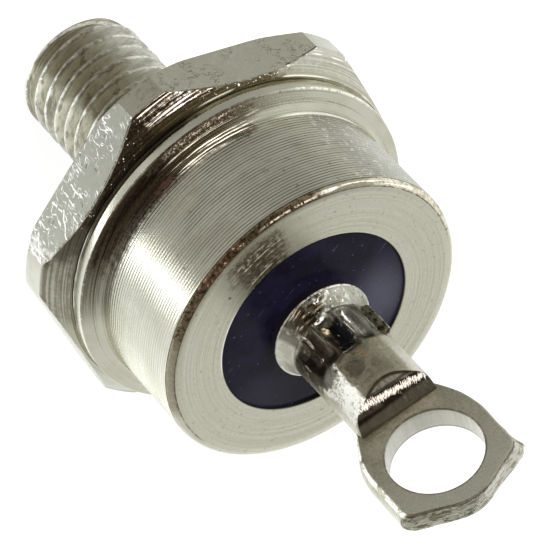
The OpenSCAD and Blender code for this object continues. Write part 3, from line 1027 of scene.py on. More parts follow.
def base_material():
    """Nickel on copper: satin flats with painted shade and painted light, turned chamfers, dark heat stain
    near the weld, threaded stud.
    """
    s = Shader("base_nickel", 0.24, 0.34)
    s.color = s.mix(s.patches(0.9), (0.57, 0.565, 0.455), (0.64, 0.635, 0.53))
    offset = s.math("WRAP", s.azimuth - HEX_TURN, 30, -30)
    reach = s.radius * s.math("COSINE", offset * (math.pi / 180))
    inset = HEX_HALF - reach
    slope = (BASE_H - CORNER_H) / (CORNER_R - BASE_TOP_R)
    cone = CORNER_H + (CORNER_R - s.radius) * slope
    gap = s.z - cone
    chamfer = s.above(gap, -0.04, 0.01) * s.above(s.radius, BASE_TOP_R - 0.12, 0.03)
    side = s.above(s.z, 0.02, 0.03) * s.below(gap, -0.05, 0.01) * s.above(s.radius, BASE_TOP_R, 0.02)
    aside = abs(offset)
    flat = s.below(aside, FLAT_REACH, 0.12) * side
    corner = s.above(aside, FLAT_REACH, 0.12) * side
    near = corner * s.sector(278, 14, 4)
    s.paint(near * 0.75, s.mix(s.grit, (0.5, 0.475, 0.375), (0.66, 0.64, 0.53)), 0.46)
    s.paint(near * s.flecks(0.58, 0.03, 3, 5, 0.7) * 0.4, (0.26, 0.22, 0.15))
    lines = chamfer_marks(s, chamfer, inset)
    dents = flat_marks(s, flat, gap)
    thread_marks(s)
    s.lift(s.cloud(14, 3, 0.6), 0.01)
    s.lift(lines, 0.04)
    s.lift(dents, 0.015)
    return s.finish()


def chamfer_marks(s, chamfer, inset):
    """Turned lines over the long chamfer, rubbed copper, dark heat stain, painted light on the far side,
    painted shade in the grooves on the left and painted highlights; returns the lines' height.
    """
    lines = s.streaks(0.5, 9, 1, 2, 0.6)
    fine = lines + (s.grit - 0.5) * 0.35
    hair = s.ruled(s.radius, 0.115, s.streaks(0.7, 5, 1, 2, 0.6))
    # Far side painted lighter: painted light.
    far = chamfer * s.sector(232, 32, 8) * 0.7
    s.paint(far, s.mix(s.above(fine, 0.47, 0.06), (0.62, 0.60, 0.48), (0.88, 0.87, 0.76)), 0.45)
    # Dark lines on the left: painted shade in the grooves.
    left = fine + hair * 0.12
    s.paint(chamfer * s.sector(332, 16, 10) * s.above(left, 0.56, 0.08) * 0.8, (0.25, 0.235, 0.175))
    s.paint(chamfer * s.sector(319, 8, 8, 0.3) * 0.75, (0.13, 0.115, 0.08))
    dark = chamfer * s.sector(285, 27, 5, 0.3)
    dusty = s.cloud(9, 4, 0.7)
    s.paint(dark, s.mix(s.step(dusty + lines, 0.75, 1.25), (0.06, 0.047, 0.03), (0.24, 0.195, 0.135)), 0.5)
    gold = chamfer * s.below(s.radius, BASE_TOP_R + 0.3, 0.06) * s.sector(260, 18, 8, 0.3)
    s.paint(gold, s.mix(s.above(fine, 0.5, 0.06), (0.20, 0.16, 0.085), (0.50, 0.44, 0.27)), 0.5)
    slanted = s.radius + (-98 - s.azimuth) * 0.006
    rubbed = chamfer * s.sector(271, 9, 4, 0.2) * s.above(slanted + s.grit * 0.12, BASE_TOP_R + 0.3, 0.05)
    s.paint(rubbed, s.mix(s.above(fine, 0.5, 0.06), (0.13, 0.095, 0.06), (0.34, 0.25, 0.17)), 0.5)
    # Bright streaks on the rubbed copper, crumbs and specks: painted highlights.
    tint = s.mix(s.patches(1.4), (0.95, 0.82, 0.71), (1, 0.97, 0.91))
    streak = s.above(hair * 0.5 + (fine - 0.5) * 2.6, 0.3, 0.12)
    streak = streak * s.above(s.streaks(4, 9, 1, 3, 0.6), 0.46, 0.06)
    s.gleam(rubbed * streak * 0.9, tint)
    inner = chamfer * s.below(s.radius, BASE_TOP_R + 0.035, 0.02) * s.sector(232, 30, 8)
    s.gleam(inner * s.above(s.streaks(4, 2, 1, 3), 0.48, 0.05) * 0.55, (0.96, 0.93, 0.78))
    s.gleam(chamfer * s.sector(222, 26, 8) * s.above(lines, 0.62, 0.04) * s.patches(1.2) * 0.6)
    crumbs = s.flecks(0.62, 0.03, 8, 2, 0.5)
    s.gleam(chamfer * s.below(inset, 0.1, 0.03) * crumbs * s.sector(235, 24, 5) * 0.8)
    specks = dark * s.flecks(0.68, 0.03, 8, 2, 0.5) * s.below(inset, 0.5, 0.3)
    s.gleam(specks * 0.8, (0.9, 0.78, 0.66))
    return lines * chamfer


def flat_marks(s, flat, gap):
    """Nicks and dents on the flats with painted shade and painted highlights, cracks in the plating, a dark
    top edge; returns their height. One flat is painted darker and the others lighter: painted shade and
    painted light.
    """
    around = s.azimuth * (math.pi / 180 * HEX_HALF)
    swayed = around + s.cloud(0.9, 2) * 0.5
    # Flat A painted darker and the other flats lighter: painted shade and painted light.
    toward_a = s.sector(308, 27, 3)
    away_a = 1 - toward_a
    level_a = s.mix(s.sector(325, 8, 26), (0.32, 0.32, 0.265), (0.38, 0.38, 0.32))
    s.paint(flat * toward_a, s.mix(s.grit, level_a, (0.42, 0.42, 0.355)), 0.42)
    s.paint(flat * away_a * 0.8, s.mix(s.grit, (0.55, 0.54, 0.425), (0.76, 0.745, 0.61)), 0.46)
    # Dark nicks: dents with painted shade.
    dark = s.largest(s.marks(around, s.z, 78, 0.9, 0.18, 0.26), s.marks(swayed, s.z, 20, 0.6, 0.16, 0.26))
    dark = dark * flat * toward_a * s.flecks(0.5, 0.06, 1.1, 2) * 0.6
    network = abs(s.cloud(0.75, 5, 0.7) - 0.5)
    crack = s.below(network, 0.008, 0.005) * s.flecks(0.47, 0.04, 0.5, 1) * flat
    crack = crack * away_a * s.above(s.grit, 0.42, 0.08) * 0.75
    s.paint(s.largest(dark, crack), (0.15, 0.125, 0.085), 0.5)
    stroke = s.marks(swayed, s.z, 3, 3.2, 0.22, 0.16) * flat * away_a * 0.6
    s.paint(stroke, (0.20, 0.17, 0.12), 0.5)
    edge = s.above(gap, -0.12, 0.02) * s.below(gap, -0.03, 0.01) * s.sector(278, 56, 6)
    edge = edge * s.above(s.grit + s.cloud(1.3), 0.97, 0.08) * 0.85
    s.paint(flat * edge, (0.1, 0.07, 0.04))
    # Bright nicks, long scratches and a battered edge: painted highlights.
    bright = s.largest(
        s.marks(swayed, s.z, 62, 1, 0.1, 0.3),
        s.marks(swayed, s.z + s.cloud(0.7) * 0.6, 72, 0.6, 0.1, 0.34),
        s.marks(swayed, s.z, 85, 2.4, 0.12, 0.24),
        s.marks(swayed, s.z, 30, 0.7, 0.1, 0.3),
        s.marks(around, s.z, 108, 0.45, 0.09, 0.32),
    )
    gate = s.flecks(0.45, 0.05, 0.75, 2) * s.step(s.grit, 0.35, 0.6, 0.35, 1)
    s.gleam(bright * flat * gate * s.blend(toward_a, 0.06, 1), (1, 1, 0.98))
    long_ones = s.largest(*(s.scratch(ends, 0.035) for ends in SCRATCHES))
    s.gleam(long_ones * flat * s.flecks(0.4, 0.06, 5, 2) * 0.85, (1, 1, 0.98))
    battered = flat * s.sector(331, 1.6, 1.5, 0.05) * s.above(s.grit, 0.46, 0.08) * 0.5
    s.gleam(battered, (1, 1, 0.96))
    return (dark + crack) * -1


def thread_marks(s):
    """Stud: crests rubbed bright with painted highlights, olive and brown stain in the valleys of one side,
    the other sides painted pale as painted light, painted shade in some valleys.
    """
    stud = s.below(s.z, -0.05, 0.05)
    near = s.sector(276, 14, 34, 0.4)
    valley = s.below(s.radius, STUD_R - 0.18, 0.12)
    s.paint(stud * near, s.mix(s.grit, (0.5, 0.485, 0.375), (0.66, 0.645, 0.52)), 0.42)
    s.paint(stud * valley * near, s.mix(s.grit, (0.48, 0.46, 0.355), (0.74, 0.71, 0.565)))
    grain = s.streaks(5, 7, 1.2, 4, 0.7)
    s.paint(stud * near * s.above(grain, 0.53, 0.07) * 0.4, (0.66, 0.64, 0.51), 0.5)
    s.paint(stud * near * s.below(grain, 0.42, 0.06) * 0.4, (0.2, 0.175, 0.125))
    top = stud * near * s.above(s.radius, STUD_R - 0.1, 0.03)
    s.paint(top * s.flecks(0.44, 0.08, 2.2, 4, 0.6) * 0.75, (0.25, 0.235, 0.175), 0.6)
    rust = s.flecks(0.56, 0.03, 0.9, 4, 0.6)
    s.paint(stud * near * rust * 0.6, (0.19, 0.13, 0.08))
    # The sides away from the near one painted pale: painted light, with painted highlights low on the left.
    pale = stud * (1 - near)
    uneven = s.streaks(3, 3, 1.6, 4, 0.6)
    s.paint(pale, s.mix(s.above(uneven, 0.5, 0.12), (0.52, 0.52, 0.44), (0.82, 0.82, 0.74)), 0.42)
    s.paint(pale * s.sector(240, 20, 10) * 0.35, (0.46, 0.455, 0.37))
    s.gleam(pale * s.sector(336, 18, 12) * s.above(uneven, 0.46, 0.1) * 0.6, (0.96, 0.95, 0.8))
    # Darker valleys on the left: painted shade.
    low = s.sector(326, 20, 8, 0.3) * valley
    s.paint(stud * low * s.above(uneven, 0.54, 0.06) * 0.4, (0.3, 0.29, 0.22))
    tip = s.below(s.z, 0.7 - STUD_LEN, 0.12) * s.above(s.radius, 2.2, 0.1)
    scored = s.above(s.streaks(1, 12, 1), 0.5, 0.06)
    s.paint(tip * 0.8, s.mix(scored, (0.38, 0.36, 0.27), (0.72, 0.70, 0.57)), 0.55)
    # Painted highlight along the stud end's shoulder.
    shoulder = s.band(s.z, STUD_CHAMFER - STUD_LEN - 0.04, STUD_CHAMFER - STUD_LEN, 0.03)
    s.gleam(shoulder * s.above(s.grit, 0.42, 0.08) * 0.35)
    # Painted highlights along the crests.
    rubbed_and_highlit = s.above(s.grit + s.cloud(1.4, 2) * 0.6, 0.8, 0.08)
    crest = stud * s.above(s.radius, STUD_R - 0.05, 0.02) * rubbed_and_highlit
    s.gleam(crest * s.blend(near, s.blend(s.sector(328, 22, 8), 0.4, 1), 0.12))


def ring_material():
    """Recessed band: dull olive with turned lines, painted shade on the near side, painted highlights along
    lines on the left.
    """
    s = Shader("ring_steel", 0.45, 0.6)
    lines = s.streaks(0.8, 9, 1.5, 2, 0.6)
    s.color = s.mix(s.streaks(2, 3, 1.5, 4, 0.65), (0.62, 0.6, 0.44), (0.84, 0.83, 0.68))
    s.paint(s.sector(258, 20, 8, 0.3) * 0.7, (0.5, 0.44, 0.26))
    s.paint(
        s.sector(246, 14, 8, 0.2) * 0.8,
        s.mix(s.above(lines, 0.5, 0.1), (0.24, 0.2, 0.11), (0.46, 0.41, 0.25)),
    )
    # Near side painted dark: painted shade in the recess.
    dark = s.mix(s.above(lines, 0.5, 0.1), (0.055, 0.042, 0.025), (0.12, 0.095, 0.06))
    s.paint(s.sector(298, 24, 10, 0.2), dark)
    s.paint(s.sector(332, 16, 10) * s.below(lines, 0.5, 0.05) * 0.7, (0.24, 0.22, 0.16))
    # Painted highlights along lines on the left.
    s.gleam(s.above(lines, 0.55, 0.03) * s.sector(334, 14, 6), (1, 1, 0.95))
    s.lift(s.cloud(8, 4, 0.6), 0.02)
    return s.finish()


def case_material():
    """Nickel plated steel: grooved barrel, plain flange, stained foot and rim with painted shade and painted
    highlights, matte top.
    """
    s = Shader("case_nickel", 0.11, 0.18)
    s.color = s.mix(s.patches(0.6), (0.63, 0.625, 0.51), (0.69, 0.685, 0.575))
    barrel_marks(s)
    foot = foot_marks(s)
    rim_marks(s)
    top = top_marks(s)
    speck = s.below(s.cells(s.place, 0.9), 0.07, 0.02) * s.flecks(0.54, 0.04, 0.9) * 0.75
    s.paint(speck, (0.10, 0.085, 0.06))
    s.lift(s.cloud(16, 3, 0.6), 0.006)
    s.lift(foot + top, 0.03)
    return s.finish(inputs={"Specular Tint": (0.95, 0.94, 0.87)})


def barrel_marks(s):
    """Thin dark line along the bottom of each groove, broken here and there, as painted shade; a few dark
    smudges, and dust with painted glints.
    """
    wall = s.above(s.z, BARREL_FOOT + 0.01, 0.01) * s.below(s.z, BARREL_TOP - 0.01, 0.01)
    wall = wall * s.above(s.radius, CASE_R - 0.15, 0.05)
    line = s.math("PINGPONG", (s.z - (BARREL_FOOT + 0.02)) / GROOVE_STEP, 0.5)
    line = s.step(line, 0.20, 0.44)
    broken = s.step(s.streaks(2.2, 2.6, 1.6, 3, 0.6), 0.3, 0.62, 0.35, 0.95)
    shown = 0.24 + s.sector(262, 28, 22) * 0.68
    s.paint(wall * s.sector(214, 12, 14), (0.42, 0.42, 0.36))
    # Painted shade in the bottom of each groove.
    s.paint(wall * line * broken * shown, (0.17, 0.155, 0.11))
    smudge = s.flecks(0.66, 0.03, 1.1, 5, 0.7) * s.sector(262, 34, 10)
    s.paint(wall * smudge * 0.6, (0.16, 0.13, 0.09))
    scuff = s.above(s.streaks(5, 3, 1.6, 4, 0.65), 0.66, 0.05)
    s.paint(wall * scuff * s.sector(262, 30, 20) * 0.45, (0.22, 0.19, 0.13))
    # Dust flecks with painted glints, on the far side only.
    dust = wall * s.flecks(0.6, 0.08, 3.5, 4, 0.7) * s.sector(222, 10, 8) * 0.28
    s.gleam(dust)


def foot_marks(s):
    """Dark heat stain and painted shade over the flange's top and the fillet, rubbed in streaks with painted
    highlights; painted shade in the crease at the fillet and painted highlight lines along the edges; returns
    the lines' height.
    """
    shelf = CASE_Z + FLANGE_H
    outside = s.above(s.radius, CASE_R - 0.15, 0.05)
    lines = s.streaks(1.6, 8, 1.2, 2, 0.6)
    low = s.above(s.z, shelf, 0.02) * s.below(s.z + s.grit * 0.7, 4.62, 0.22) * outside
    s.paint(low * s.sector(329, 8, 16) * s.step(lines, 0.3, 0.6, 0.5, 1) * 0.8, (0.17, 0.16, 0.12))
    grain = s.cloud(9, 4, 0.7)
    dusty = grain + s.streaks(3, 8, 1, 2)
    # Near side: dark heat stain and painted shade.
    near_side_tone = s.mix(s.step(dusty, 0.75, 1.3), (0.05, 0.041, 0.031), (0.24, 0.195, 0.14))
    s.paint(low * s.sector(294, 26, 10, 0.3), near_side_tone, 0.42)
    lit = s.sector(270, 8, 13, 0.2)
    s.paint(low * lit * 0.85, s.mix(s.above(lines, 0.5, 0.08), (0.15, 0.12, 0.08), (0.48, 0.41, 0.29)), 0.5)
    shoulder = s.above(s.radius, CASE_R + FILLET_R + 0.01, 0.03)
    mottled = s.mix(s.above(dusty, 1, 0.16), (0.2, 0.15, 0.1), (0.66, 0.56, 0.43))
    s.paint(low * shoulder * s.sector(269, 7, 15, 0.2) * 0.9, mottled, 0.55)
    s.paint(low * s.spot(291, 4.15, 6, 0.3, 0.9) * s.above(s.grit, 0.45, 0.1) * 0.7, (0.36, 0.2, 0.14))
    smudge = outside * s.spot(258, 4.15, 5, 0.4, 1) * s.above(grain, 0.46, 0.08) * 0.75
    s.paint(smudge, (0.15, 0.125, 0.085))
    # Rubbed streaks with painted highlights.
    hair = s.ruled(s.z, 0.15, s.streaks(1.2, 4, 1, 2, 0.6))
    strokes = hair * 0.5 + s.streaks(3, 6, 1.1, 3, 0.6) * 2.2
    strokes = s.above(strokes, 1.55, 0.1) * (1 - shoulder)
    s.gleam(low * lit * strokes * 0.85, (0.98, 0.91, 0.79))
    s.gleam(low * lit * shoulder * s.above(grain + lines * 0.4, 0.78, 0.04) * 0.45, (0.96, 0.86, 0.72))
    # Painted shade in the crease where the fillet leaves the flange's top.
    crease_shade = s.band(s.radius, CASE_R + FILLET_R - 0.06, CASE_R + FILLET_R - 0.02, 0.02)
    s.paint(low * crease_shade * s.sector(280, 22, 8) * s.above(s.grit, 0.4, 0.06) * 0.85, (0.04, 0.032, 0.02))
    # Painted highlight lines: at the barrel's foot, along the flange's top edge, down its side and at its
    # heel.
    s.gleam(s.band(s.z, 3.96, 4.06, 0.07) * outside * s.sector(224, 12, 12) * 0.5)
    edge = s.band(s.z, shelf - 0.06, shelf - 0.01, 0.03) * s.above(s.radius, FLANGE_R - 0.12, 0.03)
    s.paint(edge * s.sector(298, 44, 12) * s.step(s.grit, 0.35, 0.5) * 0.8, (0.15, 0.12, 0.08))
    s.gleam(edge * s.sector(218, 14, 8) * s.above(s.grit, 0.46, 0.06) * 0.4)
    rolled = s.band(s.z, CASE_Z, shelf, 0.02) * s.above(s.radius, FLANGE_R - 0.05, 0.02)
    s.gleam(rolled * (s.sector(298, 6, 8) + s.sector(345, 8, 8)) * 0.12, (0.92, 0.92, 0.84))
    heel = s.below(s.z, CASE_Z + 0.035, 0.012) * s.above(s.radius, FLANGE_R - 0.07, 0.02) * 0.5
    s.gleam(heel * s.sector(236, 42, 10) * s.above(s.streaks(4, 2, 1, 3), 0.46, 0.05))
    return lines * low


def rim_marks(s):
    """Blunt rim: brown near side with copper tints, cream on the far right, painted highlights, and painted
    shade in the scored line along both edges.
    """
    high = s.z - (CASE_TOP - RIM_R)
    inward = s.radius - (CASE_R - RIM_R)
    across = high - inward
    rim = s.above(high, 0, 0.02) * s.above(inward, 0, 0.02)
    fleck = s.cloud(6, 4, 0.7)
    broken = s.streaks(3, 3, 1.5, 3)
    s.paint(rim * s.sector(222, 30, 8), s.mix(fleck, (0.44, 0.42, 0.31), (0.92, 0.89, 0.73)), 0.62)
    # Painted highlights on the far right.
    s.gleam(rim * s.sector(206, 20, 10) * s.above(fleck, 0.46, 0.1) * 0.35, (0.98, 0.96, 0.85))
    s.paint(rim * s.sector(340, 16, 10), s.mix(fleck, (0.26, 0.23, 0.15), (0.74, 0.71, 0.57)), 0.5)
    brown = s.mix(s.above(fleck, 0.5, 0.12), (0.10, 0.075, 0.045), (0.44, 0.36, 0.24))
    s.paint(rim * s.sector(290, 34, 8, 0.2), brown, 0.5)
    s.paint(rim * s.sector(297, 8, 6) * s.above(fleck, 0.52, 0.05) * 0.8, (0.5, 0.3, 0.21))
    # Painted glints on the near side.
    s.gleam(rim * s.sector(297, 10, 8) * s.above(fleck, 0.64, 0.03) * 0.5, (0.85, 0.62, 0.48))
    # Copper and cream lines along the bevel: painted highlights.
    copper = rim * s.band(across, 0.08, 0.16, 0.04) * s.sector(265, 8, 6) * s.above(broken, 0.47, 0.05)
    s.gleam(copper * s.above(fleck, 0.46, 0.06) * 0.6, (0.92, 0.79, 0.64))
    cream = rim * s.band(across, -0.06, 0.1, 0.06) * s.sector(232, 16, 10) * s.above(broken, 0.45, 0.06)
    s.gleam(cream * s.step(fleck, 0.35, 0.6, 0.4, 0.8), (0.98, 0.93, 0.8))
    # Painted shade in the scored lines along both edges.
    edge = s.below(across, -0.24, 0.03) + s.above(across, 0.24, 0.03)
    edge = rim * edge * s.sector(280, 95, 10) * s.step(s.grit, 0.34, 0.52, 0.3, 1) * 0.8
    s.paint(edge, (0.12, 0.095, 0.06))


def top_marks(s):
    """Matte top with faint circles, stained specks, a dark painted reflection with painted glints, a painted
    highlight at the window's edge and painted shade on the window's wall; returns the circles' height.
    """
    top = s.above(s.z, CASE_TOP - 0.022, 0.008) * s.below(s.radius, CASE_R - RIM_R - 0.01, 0.01)
    circles = s.streaks(0.5, 6, 1.5, 3, 0.6)
    s.paint(top * 0.8, s.mix(s.above(circles, 0.5, 0.08), (0.665, 0.66, 0.53), (0.72, 0.72, 0.6)), 0.4)
    fleck = s.flecks(0.64, 0.03, 4.2, 3, 0.6) * s.flecks(0.47, 0.08, 0.8)
    s.paint(top * fleck * 0.5, (0.3, 0.26, 0.19))
    s.paint(top * s.flecks(0.54, 0.07, 13, 3, 0.7) * 0.22, (0.46, 0.43, 0.32))
    inner = s.below(s.radius + s.grit * 0.8, 7.1, 0.2)
    # Dark patch near the window: painted reflection, with painted glints.
    patch = top * s.sector(284, 9, 8, 0.2) * inner
    s.paint(patch * 0.85, s.mix(s.above(s.grit, 0.48, 0.14), (0.12, 0.1, 0.065), (0.36, 0.32, 0.22)))
    glint_streaks = s.streaks(2.4, 8, 1.2, 2, 0.6) + (s.grit - 0.5) * 0.6
    s.gleam(patch * s.above(glint_streaks, 0.62, 0.05) * 0.35, (0.95, 0.9, 0.76))
    # Painted highlight along the window's edge.
    shine = s.above(s.z, CASE_TOP - 0.07, 0.01) * s.band(s.radius, WINDOW_R, WINDOW_R + 0.08, 0.02)
    s.gleam(shine * s.sector(332, 14, 10) * 0.5)
    # Painted shade on the window's inner wall.
    lip = s.above(s.z, CAVITY_TOP + 0.05, 0.05) * s.below(s.radius, WINDOW_R + 0.038, 0.018) * 0.8
    s.paint(lip, (0.13, 0.12, 0.08))
    return circles * top * 0.55


def glass_material():
    """Opaque dark blue-violet glass with a painted pale reflection toward one side and a fainter one
    opposite, a few fine scratches and dust.
    """
    s = Shader("seal_glass", 0.20, 0.30)
    s.color = s.mix(s.patches(0.7), (0.0032, 0.0026, 0.0060), (0.0055, 0.0045, 0.0120))
    # Painted reflection, paler toward one side.
    reflection_distance = s.length(s.x + 3.4, (s.y - 1.1) * 0.7)
    s.paint(s.step(reflection_distance, 0.2, 2.05, 0.4, 0), (0.092, 0.092, 0.13))
    # Fainter painted reflection on the other side.
    low = s.length((s.x - 2.8) * 0.8, s.y - 2.6)
    s.paint(s.step(low, 0.3, 2.2, 0.28, 0), (0.036, 0.034, 0.048))
    line = s.marks(s.x, s.y, 30, 2.2, 0.16, 0.2) * s.flecks(0.55, 0.05, 0.9) * 0.12
    s.paint(line, (0.30, 0.28, 0.34))
    s.paint(s.flecks(0.72, 0.04, 5, 2, 0.5) * 0.08, (0.5, 0.5, 0.5))
    return s.finish(0, {"IOR": 1.5, "Specular IOR Level": 0.1})


def sleeve_material():
    """Collar with a painted highlight along its edge, brown and copper on the near side; the sleeve below it
    is painted dark as painted shade.
    """
    s = Shader("sleeve_nickel", 0.24, 0.36)
    s.color = s.mix(s.above(s.grit, 0.40, 0.1), (0.50, 0.49, 0.40), (0.72, 0.72, 0.64))
    s.paint(s.sector(285, 22, 12, 0.3) * s.above(s.grit, 0.45, 0.07), (0.24, 0.17, 0.11))
    copper = s.sector(296, 16, 10) * s.flecks(0.56, 0.04, 2.6, 3, 0.6) * 0.7
    s.paint(copper, (0.72, 0.47, 0.32))
    # Painted highlight along the collar's edge.
    rim = s.above(s.radius, COLLAR_R - 0.07, 0.02) * s.above(s.z, COLLAR_TOP - COLLAR_T + 0.02, 0.02)
    s.gleam(rim * s.sector(285, 80, 20) * s.above(s.grit, 0.44, 0.08) * 0.5, (0.96, 0.94, 0.86))
    # Painted shade on the sleeve under the collar.
    s.paint(s.below(s.z, COLLAR_TOP - COLLAR_T - 0.01, 0.02), (0.085, 0.078, 0.11), 0.7)
    s.lift(s.grit, 0.02)
    return s.finish()


def tin_stains(s, share):
    """Bright solder with brown and black flux stains on the near side, painted glints and painted highlights,
    over a share of the surface.
    """
    ragged = s.cloud(1.9, 4, 0.6)
    s.paint(share, s.mix(s.patches(2), (0.64, 0.64, 0.53), (0.86, 0.86, 0.76)), 0.42)
    # Painted glints, and a painted highlight low on the left.
    s.gleam(share * s.flecks(0.58, 0.05, 2.4, 3, 0.6) * s.sector(250, 18, 12) * 0.4)
    s.gleam(share * s.sector(338, 16, 10) * 0.22, (0.94, 0.95, 0.84))
    stain = share * s.sector(282, 20, 10, 0.3) * s.above(ragged, 0.42, 0.08)
    drawn = s.streaks(2, 5, 1.4, 4, 0.6)
    s.paint(stain, s.mix(s.above(drawn, 0.5, 0.10), (0.06, 0.047, 0.03), (0.42, 0.33, 0.22)), 0.48)
    s.paint(share * s.sector(311, 13, 8) * s.above(ragged, 0.43, 0.07) * 0.8, (0.2, 0.18, 0.13))
    # Painted highlights along streaks in the stain.
    s.gleam(stain * s.above(drawn, 0.6, 0.04) * 0.55, (0.95, 0.84, 0.7))
    glint = s.flecks(0.63, 0.03, 4.2, 3, 0.6)
    s.gleam(share * s.sector(256, 20, 6) * glint * 0.9, (1, 0.98, 0.93))


def solder_material():
    """Ring of solder at the tube's foot."""
    s = Shader("tinned_solder", 0.26, 0.32)
    s.color = s.mix(s.grit, (0.52, 0.525, 0.45), (0.66, 0.665, 0.59))
    tin_stains(s, 1)
    s.lift(s.grit, 0.05)
    return s.finish()


def lug_material():
    """Nickel plated copper, heat-stained over the crimp, scored on the step, torn at the end."""
    s = Shader("lug_nickel", 0.28, 0.38)
    s.color = s.mix(s.patches(1.1), (0.47, 0.455, 0.345), (0.56, 0.545, 0.425))
    s.paint(s.flecks(0.54, 0.07, 6, 4, 0.7) * 0.38, (0.28, 0.25, 0.165))
    s.paint(s.flecks(0.58, 0.05, 4, 4, 0.7) * 0.3, (0.8, 0.79, 0.66))
    s.paint(s.step(s.z, 16.5, 21.3, 0, 0.75), (0.72, 0.71, 0.58))
    s.paint(s.flecks(0.55, 0.06, 13, 3, 0.7) * 0.28, (0.24, 0.21, 0.145))
    tin_stains(s, s.below(s.z + s.grit * 0.4, 11.05, 0.1))
    highlight_crust = tube_marks(s)
    crimp_marks(s)
    step_marks(s)
    torn = end_marks(s)
    s.lift(s.cloud(7, 4, 0.6), 0.022)
    s.lift(highlight_crust, 0.03)
    s.lift(torn, 0.10)
    return s.finish()


def tube_marks(s):
    """Tube above the crimp: olive stain near by, a faint painted highlight on the far side, crumbly plating
    under a painted highlight on one side; returns the plating's height.
    """
    tube = (
        s.above(s.z, CRIMP_TOP + 0.05, 0.15) * s.below(s.z, TUBE_TOP - 0.05, 0.05)
        * s.below(s.y, -0.15, 0.15)
    )
    near_side_tone = s.mix(s.grit, (0.22, 0.19, 0.13), (0.50, 0.46, 0.34))
    s.paint(tube * s.sector(277, 24, 10) * 0.65, near_side_tone)
    # Faint painted highlight on the far side.
    s.gleam(tube * s.sector(218, 8, 10) * 0.2)
    darker = s.flecks(0.54, 0.06, 3, 4, 0.7)
    s.paint(tube * s.sector(290, 12, 8) * darker * 0.5, (0.16, 0.14, 0.09))
    # Crumbly plating on the lower left under a painted highlight.
    side = s.sector(324, 18, 5, 0.25)
    grain = s.cloud(8, 4, 0.7)
    highlight_crust = tube * side * s.above(grain + s.patches(1.1) * 0.12, 0.48, 0.06)
    s.gleam(highlight_crust * 0.8, (0.97, 0.97, 0.92))
    return tube * grain * side


def crimp_marks(s):
    """Steel-dark crimp with blue-black, red-brown and gold patches, a pale brushed facet that is partly
    painted reflection, painted shade in the jaw's groove and painted highlights on rubbed edges.
    """
    zone = s.band(s.z, 10.95, CRIMP_TOP + 0.05, 0.2) * s.sector(285, 66, 14)
    cloudy = s.cloud(2, 4, 0.6)
    s.paint(zone * 0.9, s.mix(s.above(cloudy, 0.5, 0.12), (0.1, 0.085, 0.06), (0.36, 0.335, 0.27)), 0.4)
    for azimuth, height, half, tall, share, tint in CRIMP_PATCHES:
        s.paint(s.spot(azimuth, height, half, tall, 0.9) * share, tint)
    # Painted glints on the gold patch.
    s.gleam(s.spot(282, 11.32, 4, 0.22, 0.9) * s.above(s.grit, 0.5, 0.08) * 0.7, (0.95, 0.85, 0.6))
    # Pale brushed facet: partly painted reflection.
    silver = s.spot(243, 11.8, 8, 0.9, 0.9) * s.above(s.streaks(5, 0.6, 1.6, 3), 0.48, 0.05)
    s.paint(s.spot(240, 11.9, 13, 1, 0.6), (0.48, 0.48, 0.42), 0.4)
    s.paint(silver, (0.85, 0.85, 0.79), 0.45)
    brushed = s.noise(s.combine(s.azimuth * 0.3, s.z * 0.8, 0), 1.6, 3, 0.6)
    s.paint(s.spot(243, 11.9, 11, 0.9, 0.7) * s.above(brushed, 0.52, 0.05) * 0.6, (0.2, 0.2, 0.17), 0.4)
    # Painted shade in the groove that the jaw pressed in.
    s.paint(s.band(s.z, 10.9, 12.8, 0.2) * s.sector(216, 3, 3), (0.02, 0.02, 0.018))
    fin = s.band(s.z, 10.9, 12.9, 0.2) * s.sector(204, 7, 2)
    s.paint(fin, s.mix(s.above(s.grit, 0.48, 0.08), (0.07, 0.065, 0.045), (0.62, 0.60, 0.46)), 0.4)
    dull = s.largest(*(s.spot(*edge, 0.45) for edge in DULL_EDGES))
    bright = s.largest(*(s.spot(*edge, 0.45) for edge in BRIGHT_EDGES))
    # Painted highlights on rubbed edges, and painted glints.
    s.gleam(dull * s.above(s.grit, 0.42, 0.07) * 0.45, (0.9, 0.82, 0.7))
    s.gleam(bright * s.above(s.grit, 0.42, 0.07) * 0.75, (1, 0.98, 0.92))
    flecks = zone * s.flecks(0.7, 0.03, 5, 3, 0.6) * s.sector(280, 45, 10) * 0.6
    s.gleam(flecks, (1, 0.98, 0.92))


